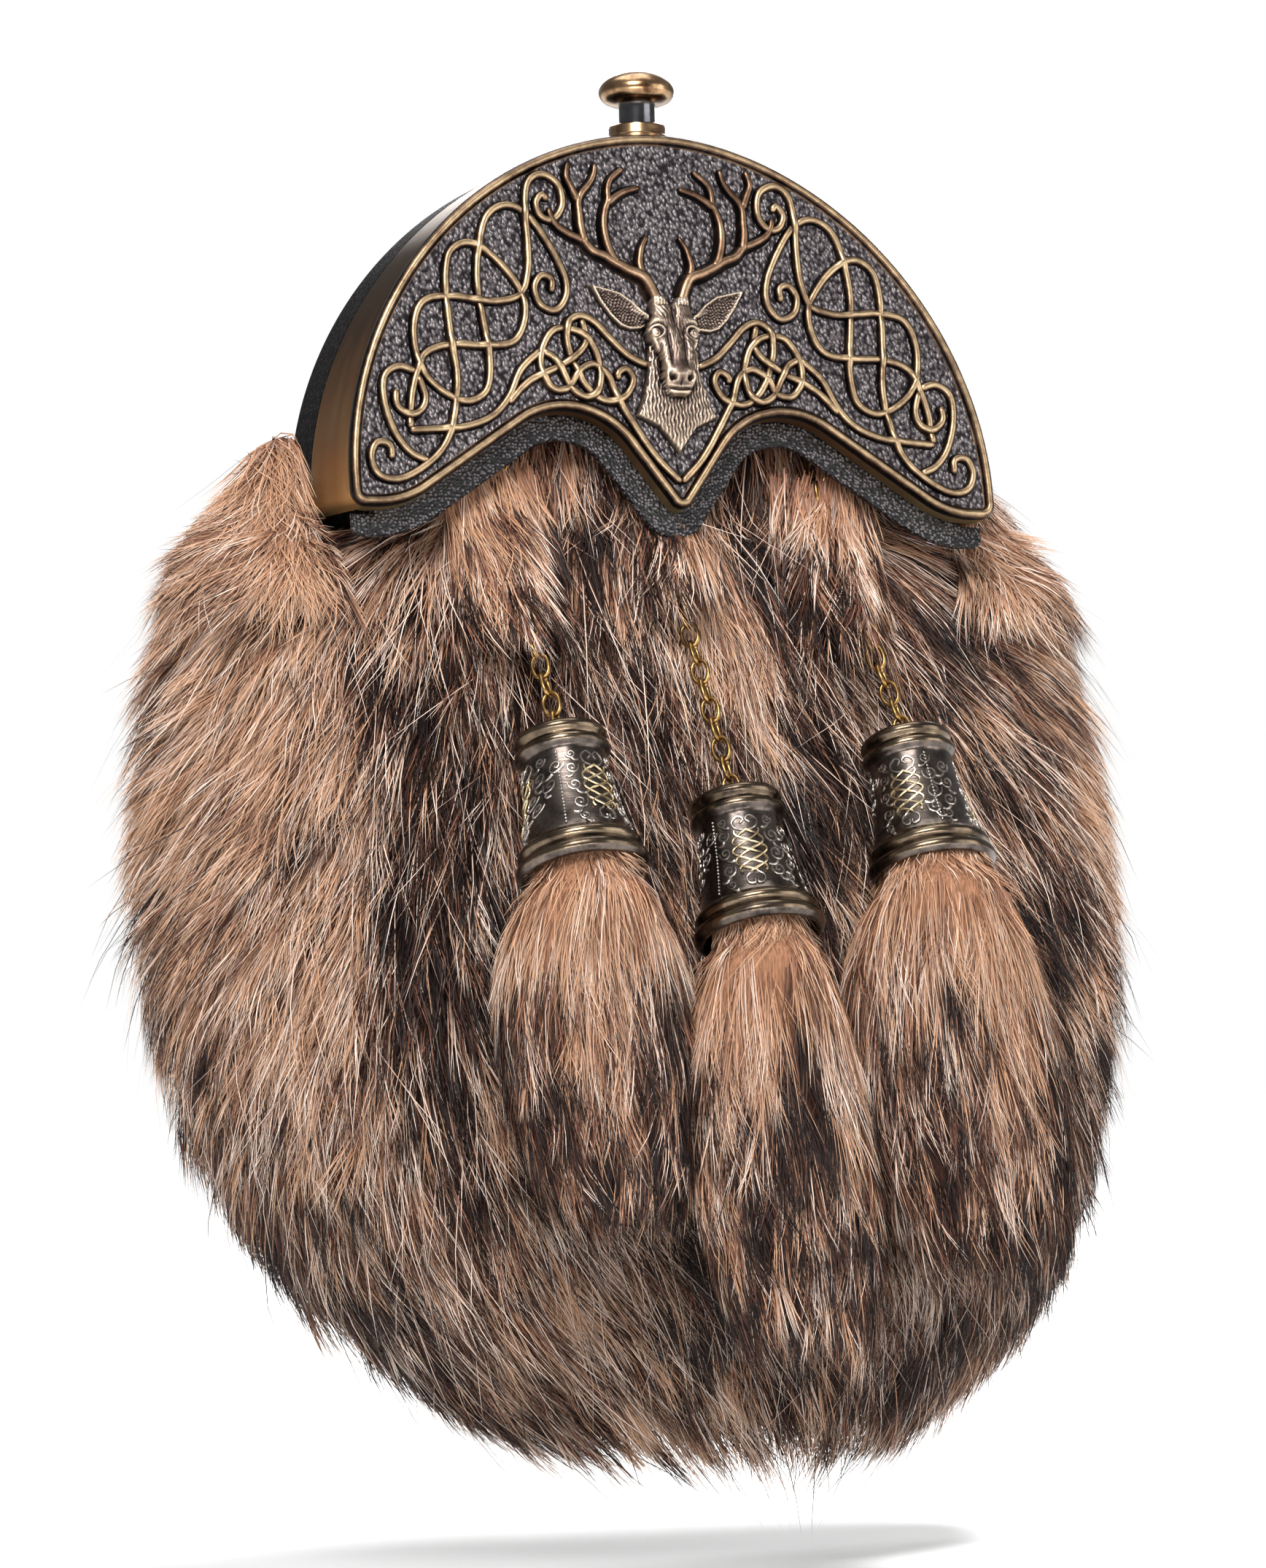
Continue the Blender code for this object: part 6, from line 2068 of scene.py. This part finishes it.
@dataclass
class Chain:
    """Cable chain of oval wire links that runs from behind the apron into a bell."""

    bell: Bell
    pitch: float = 4.5
    length: float = 6.1
    width: float = 4.1
    wire: float = 0.42

    def link(self, centre: Array, along: Array, across: Array) -> Array:
        """Loops of one link.

        Args:
            centre: its middle.
            along: direction of its long side.
            across: direction of its short side.

        Returns:
            Rings of points round the wire.
        """
        turn = np.linspace(0.0, math.tau, 25)[:-1]
        long_half, wide_half = self.length / 2 - self.wire, self.width / 2 - self.wire
        stretch = np.sign(np.cos(turn)) * np.abs(np.cos(turn)) ** 0.8
        path = (centre + np.outer(stretch * long_half, along)
                + np.outer(np.sin(turn) * wide_half, across))
        out = unit(path - centre)
        normal = np.cross(along, across)
        ring = round_section(self.wire, 8)
        return path[:, None] + out[:, None] * ring[None, :, :1] + normal * ring[None, :, 1:]

    def build(self, wire: Material) -> None:
        """Make the chain's links.

        Args:
            wire: finish of the chain.
        """
        side = self.bell.spot.side
        ends = self.bell.place(np.array(((0.0, 0.0, 3.0), (0.0, 0.0, -2.3))))
        path = smooth_curve(np.vstack((CHAIN_ROUTES[side], ends)), 0.2)
        centres = resample(path, round(run_along(path)[-1] / self.pitch) + 1)
        along = unit(np.gradient(centres, axis=0))
        parts = MeshParts()
        for k, (centre, ahead) in enumerate(zip(centres, along)):
            side_way = unit(np.cross(ahead, (0.0, -1.0, 0.25)))
            turn = math.radians(45.0 if k % 2 else -45.0)
            across = side_way * math.cos(turn) + np.cross(side_way, ahead) * math.sin(turn)
            parts.add_loops(self.link(centre, ahead, across), ring=True)
        settle(parts.build(f"tassel_chain_{side}", wire, "brass_wire", 60.0), f"chain_{side}")


# Rings of a tassel below the bell's mouth: share of the drop, width and depth over the spread
TASSEL_RINGS = (
    (-0.14, 0.5, 0.5), (0, 0.62, 0.62), (0.1, 0.86, 0.8), (0.28, 1.08, 0.74), (0.55, 1.2, 0.7),
    (0.8, 1.05, 0.6), (1, 0.8, 0.42), (1.15, 0.5, 0.26),
)
# Patches of the tassels: side, across and down as shares, half width, half height, darkness
TASSEL_PATCHES = (
    ("left", 0.55, 0.6, 0.35, 0.3, 0.5), ("left", -0.45, 0.5, 0.4, 0.26, -0.35),
    ("left", 0.1, 0.45, 0.2, 0.16, -0.2), ("left", -0.8, 0.85, 0.3, 0.2, 0.3),
    ("middle", 0.05, 0.4, 0.2, 0.22, 0.65), ("middle", -0.55, 0.34, 0.26, 0.16, -0.25),
    ("middle", 0.55, 0.42, 0.3, 0.14, -0.3), ("middle", -0.6, 0.68, 0.3, 0.2, 0.35),
    ("middle", 0.3, 0.98, 0.35, 0.14, -0.3), ("middle", 0.8, 0.75, 0.25, 0.2, 0.3),
    ("middle", -0.1, 0.66, 0.16, 0.2, -0.25), ("right", -0.5, 0.6, 0.22, 0.26, 0.42),
    ("right", 0.5, 0.36, 0.35, 0.14, -0.35), ("right", 0.85, 0.66, 0.22, 0.24, 0.45),
    ("right", 0.1, 0.6, 0.24, 0.3, -0.38), ("right", 0.2, 0.92, 0.4, 0.2, 0.2),
)


@dataclass
class Tassel:
    """Fur tassel that hangs out of a bell."""

    bell: Bell
    tufts: int = 700
    strands: int = 20
    around: int = 49
    wool_depth: float = 1.3
    # Shares of the drop over which underwool and strands start
    wool_share: float = 0.9
    root_share: float = 0.86
    lie: Lie = Lie(length=(15.0, 23.0), depth=1.8, lift=0.8, width=0.24, reach=2.6, gather=0.35,
                   cling=0.85, spread=7.0, stray=0.4)

    def coat(self) -> Coat:
        """The tassel's outer form.

        Returns:
            Its grid, closed round the tassel.
        """
        spot = self.bell.spot
        turn = np.linspace(0.0, math.tau, self.around)
        rings = []
        for share, wide, deep in smooth_curve(TASSEL_RINGS, 0.012):
            soft = max(share, 0.0)
            centre = self.bell.on_axis(BELL_LENGTH) + np.array(
                (spot.drift * soft ** 1.5, 1.5 * soft, -spot.drop * share))
            if share < 0.0:
                centre = self.bell.on_axis(BELL_LENGTH + spot.drop * share)
            tilt = np.array(Matrix.Rotation(BELL_TILT * (1.0 - soft) ** 2, 3, "X"))
            local = np.stack((spot.spread * wide * np.cos(turn), spot.spread * deep * np.sin(turn),
                              np.zeros(self.around)), axis=-1)
            rings.append(centre + local @ tilt.T)
        return Coat(np.array(rings), wrap=True)

    def tone(self, places: Array) -> Array:
        """Tan by the bell, cream and dark patches below.

        Args:
            places: points of the working frame.

        Returns:
            Darkness from 0 to 1.
        """
        spot = self.bell.spot
        mouth = self.bell.on_axis(BELL_LENGTH)
        share = (mouth[2] - places[:, 2]) / spot.drop
        aside = (places[:, 0] - mouth[0] - spot.drift * np.clip(share, 0.0, 1.0)) / spot.spread
        patches = np.zeros(len(places))
        for side, across, down, wide, high, weight in TASSEL_PATCHES:
            if side == spot.side:
                gap = ((aside - across) / wide) ** 2 + ((share - down) / high) ** 2
                patches += weight * np.exp(-gap)
        return np.interp(share, (0.06, 0.24, 0.38, 1.0), (0.06, 0.16, 0.52, 0.62)) + patches

    def shade(self, places: Array, rng: Dice) -> Array:
        """Darkness of the tassel's tufts, which differ least where they are pale."""
        dark = self.tone(places)
        return dark + rng.normal(0.0, 0.2, len(places)) * np.interp(dark, (0.1, 0.4), (0.05, 1.0))

    def build(self, hair: Material, felt: Material) -> None:
        """Lay the underwool and grow the tassel.

        Args:
            hair: what covers the strands.
            felt: what covers the underwool.
        """
        spot = self.bell.spot
        coat = self.coat()
        sparse = coat.thinned(2)
        low = coat.points[:, 0, 2].max() - spot.drop * self.wool_share
        lay_underwool(f"tassel_underwool_{spot.side}", sparse, self.wool_depth,
                      self.tone(sparse.points.reshape(-1, 3)), sparse.points[..., 2] > low,
                      f"tassel_{spot.side}", felt)
        mouth = self.bell.on_axis(BELL_LENGTH)[2]
        Pelt(f"tassel_fur_{spot.side}", coat, self.shade, lambda p: np.zeros(len(p)), self.tufts,
             self.strands, self.lie, 20 + TASSEL_SPOTS.index(spot),
             lambda p: p[:, 2] > mouth - spot.drop * self.root_share,
             lambda p: np.interp(p[:, 2] - mouth, (-14.0, 2.0), (1.0, 0.62)),
             f"tassel_{spot.side}", "tassel_fur").grow(hair)


@dataclass
class Studio:
    """Camera, lamps and paper, which aren't part of the object."""

    camera_place: Triple = (-0.3238, -0.8132, -0.1333)
    right: Triple = (0.9272, -0.3740, -0.0224)
    up: Triple = (0.0026, -0.0533, 0.9986)
    back: Triple = (-0.3746, -0.9259, -0.0484)
    lens: float = 100.465
    floor_z: float = -0.2445
    floor_half: float = 3.0
    aim: Triple = (0.0, -0.03, -0.09)
    # Soft rectangular lamps: name, place and size in metres, watts
    lamps: tuple[tuple, ...] = (
        ("key_lamp", (-0.5, -0.9, 0.75), (0.6, 0.6), 24.5),
        ("fill_lamp", (0.9, -0.9, 0.1), (0.9, 0.9), 9.0),
        ("top_lamp", (0.0, 0.1, 1.0), (0.8, 0.8), 7.0),
        ("back_lamp", (0.6, 1.1, 0.5), (0.8, 0.8), 16.0),
        ("low_lamp", (-0.25, -0.8, -0.2), (0.7, 0.06), 3.2),
    )

    def place_camera(self) -> None:
        """Put the camera where the picture was taken from."""
        data = bpy.data.cameras.new("studio_camera")
        data.sensor_fit = "VERTICAL"
        data.sensor_height = 36.0
        data.lens = self.lens
        data.clip_start = 0.02
        data.clip_end = 20.0
        camera = add_object("studio_camera", data)
        turn = Matrix((self.right, self.up, self.back)).transposed()
        camera.matrix_world = Matrix.Translation(self.camera_place) @ turn.to_4x4()
        bpy.context.scene.camera = camera

    def light(self) -> None:
        """Set up the lamps, aimed at the pouch, and the pale surroundings."""
        for name, place, size, power in self.lamps:
            data = bpy.data.lights.new(name, "AREA")
            data.shape = "RECTANGLE"
            data.size, data.size_y = size
            data.energy = power
            lamp = add_object(name, data)
            lamp.location = place
            lamp.rotation_euler = (Vector(self.aim) - Vector(place)).to_track_quat("-Z", "Y").to_euler()
        bpy.context.scene.view_settings.view_transform = "Standard"
        world = bpy.data.worlds.new("studio_air")
        world.use_nodes = True
        seen = add_node(world.node_tree, "LightPath", {})["Is Camera Ray"]
        glow = add_node(world.node_tree, "MapRange", {"To Min": 0.32, "To Max": 1.0, "Value": seen})
        set_up(world.node_tree.nodes["Background"], {"Strength": glow["Result"], "Color": (1.0,) * 4})
        bpy.context.scene.world = world

    def lay_paper(self) -> None:
        """Lay the pale floor, lit alone from above so it stays white beside the soft shadow."""
        points = np.array([(x * self.floor_half, y * self.floor_half, self.floor_z)
                           for x, y in ((-1, -1), (1, -1), (1, 1), (-1, 1))])
        floor = add_mesh("paper_floor", points, np.array([4]), np.arange(4), StageFinish().make())
        floor.visible_diffuse = False
        data = bpy.data.lights.new("paper_wash", "SUN")
        data.energy = 9.5
        data.angle = math.radians(15.0)
        lamp = add_object("paper_wash", data)
        lamp.rotation_euler = (math.radians(14.0), math.radians(13.0), 0.0)
        group = bpy.data.collections.new("paper_wash_receivers")
        group.objects.link(floor)
        lamp.light_linking.receiver_collection = group


def main() -> None:
    """Build the pouch, piece by piece, and the studio round it."""
    logging.basicConfig(level=logging.INFO, format="%(message)s")
    studio = Studio()
    studio.place_camera()
    studio.light()
    studio.lay_paper()
    hair = HairFinish().make()
    felt = FeltFinish().make()
    Cantle().build()
    Plunger().build()
    grained = LeatherFinish("black_pebbled_leather").make()
    Apron().build(grained)
    # Its second, lighter colour paints a faint glint on each pebble's top
    smooth = LeatherFinish("black_smooth_leather", "#0b0a0a", "#262224", 0.8, 0.12, 0.6, 0.05).make()
    BackPanel().build(smooth)
    for node in ("pouch_shell", "belt_loop_left", "belt_loop_right"):
        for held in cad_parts[node].material_slots:
            held.material = smooth
    gunmetal = TurnedFinish("gunmetal_bell", "#2b2624", "#6e645d", 0.24, 0.4, patch_mm=3.0,
                            relief_mm=0.03).make()
    rolled = TurnedFinish("rolled_antique_rim", "#2b2420", "#7a6a57", 0.2, patch_mm=5.0).make()
    gilt = TurnedFinish("rubbed_gilt_plait", "#85735a", "#d6c4a0", 0.26, patch_mm=3.0).make()
    pewter = TurnedFinish("rubbed_pewter_scrolls", "#5c5550", "#b5aca4", 0.26, patch_mm=2.5).make()
    wire = TurnedFinish("drawn_brass_wire", "#5c4426", "#b08c55", 0.26, patch_mm=3.0).make()
    for spot in TASSEL_SPOTS:
        bell = Bell(spot)
        bell.build(gunmetal, rolled, gilt, pewter)
        Chain(bell).build(wire)
        Tassel(bell).build(hair, felt)
    FurBag().build(hair, felt)


if __name__ == "__main__":
    main()
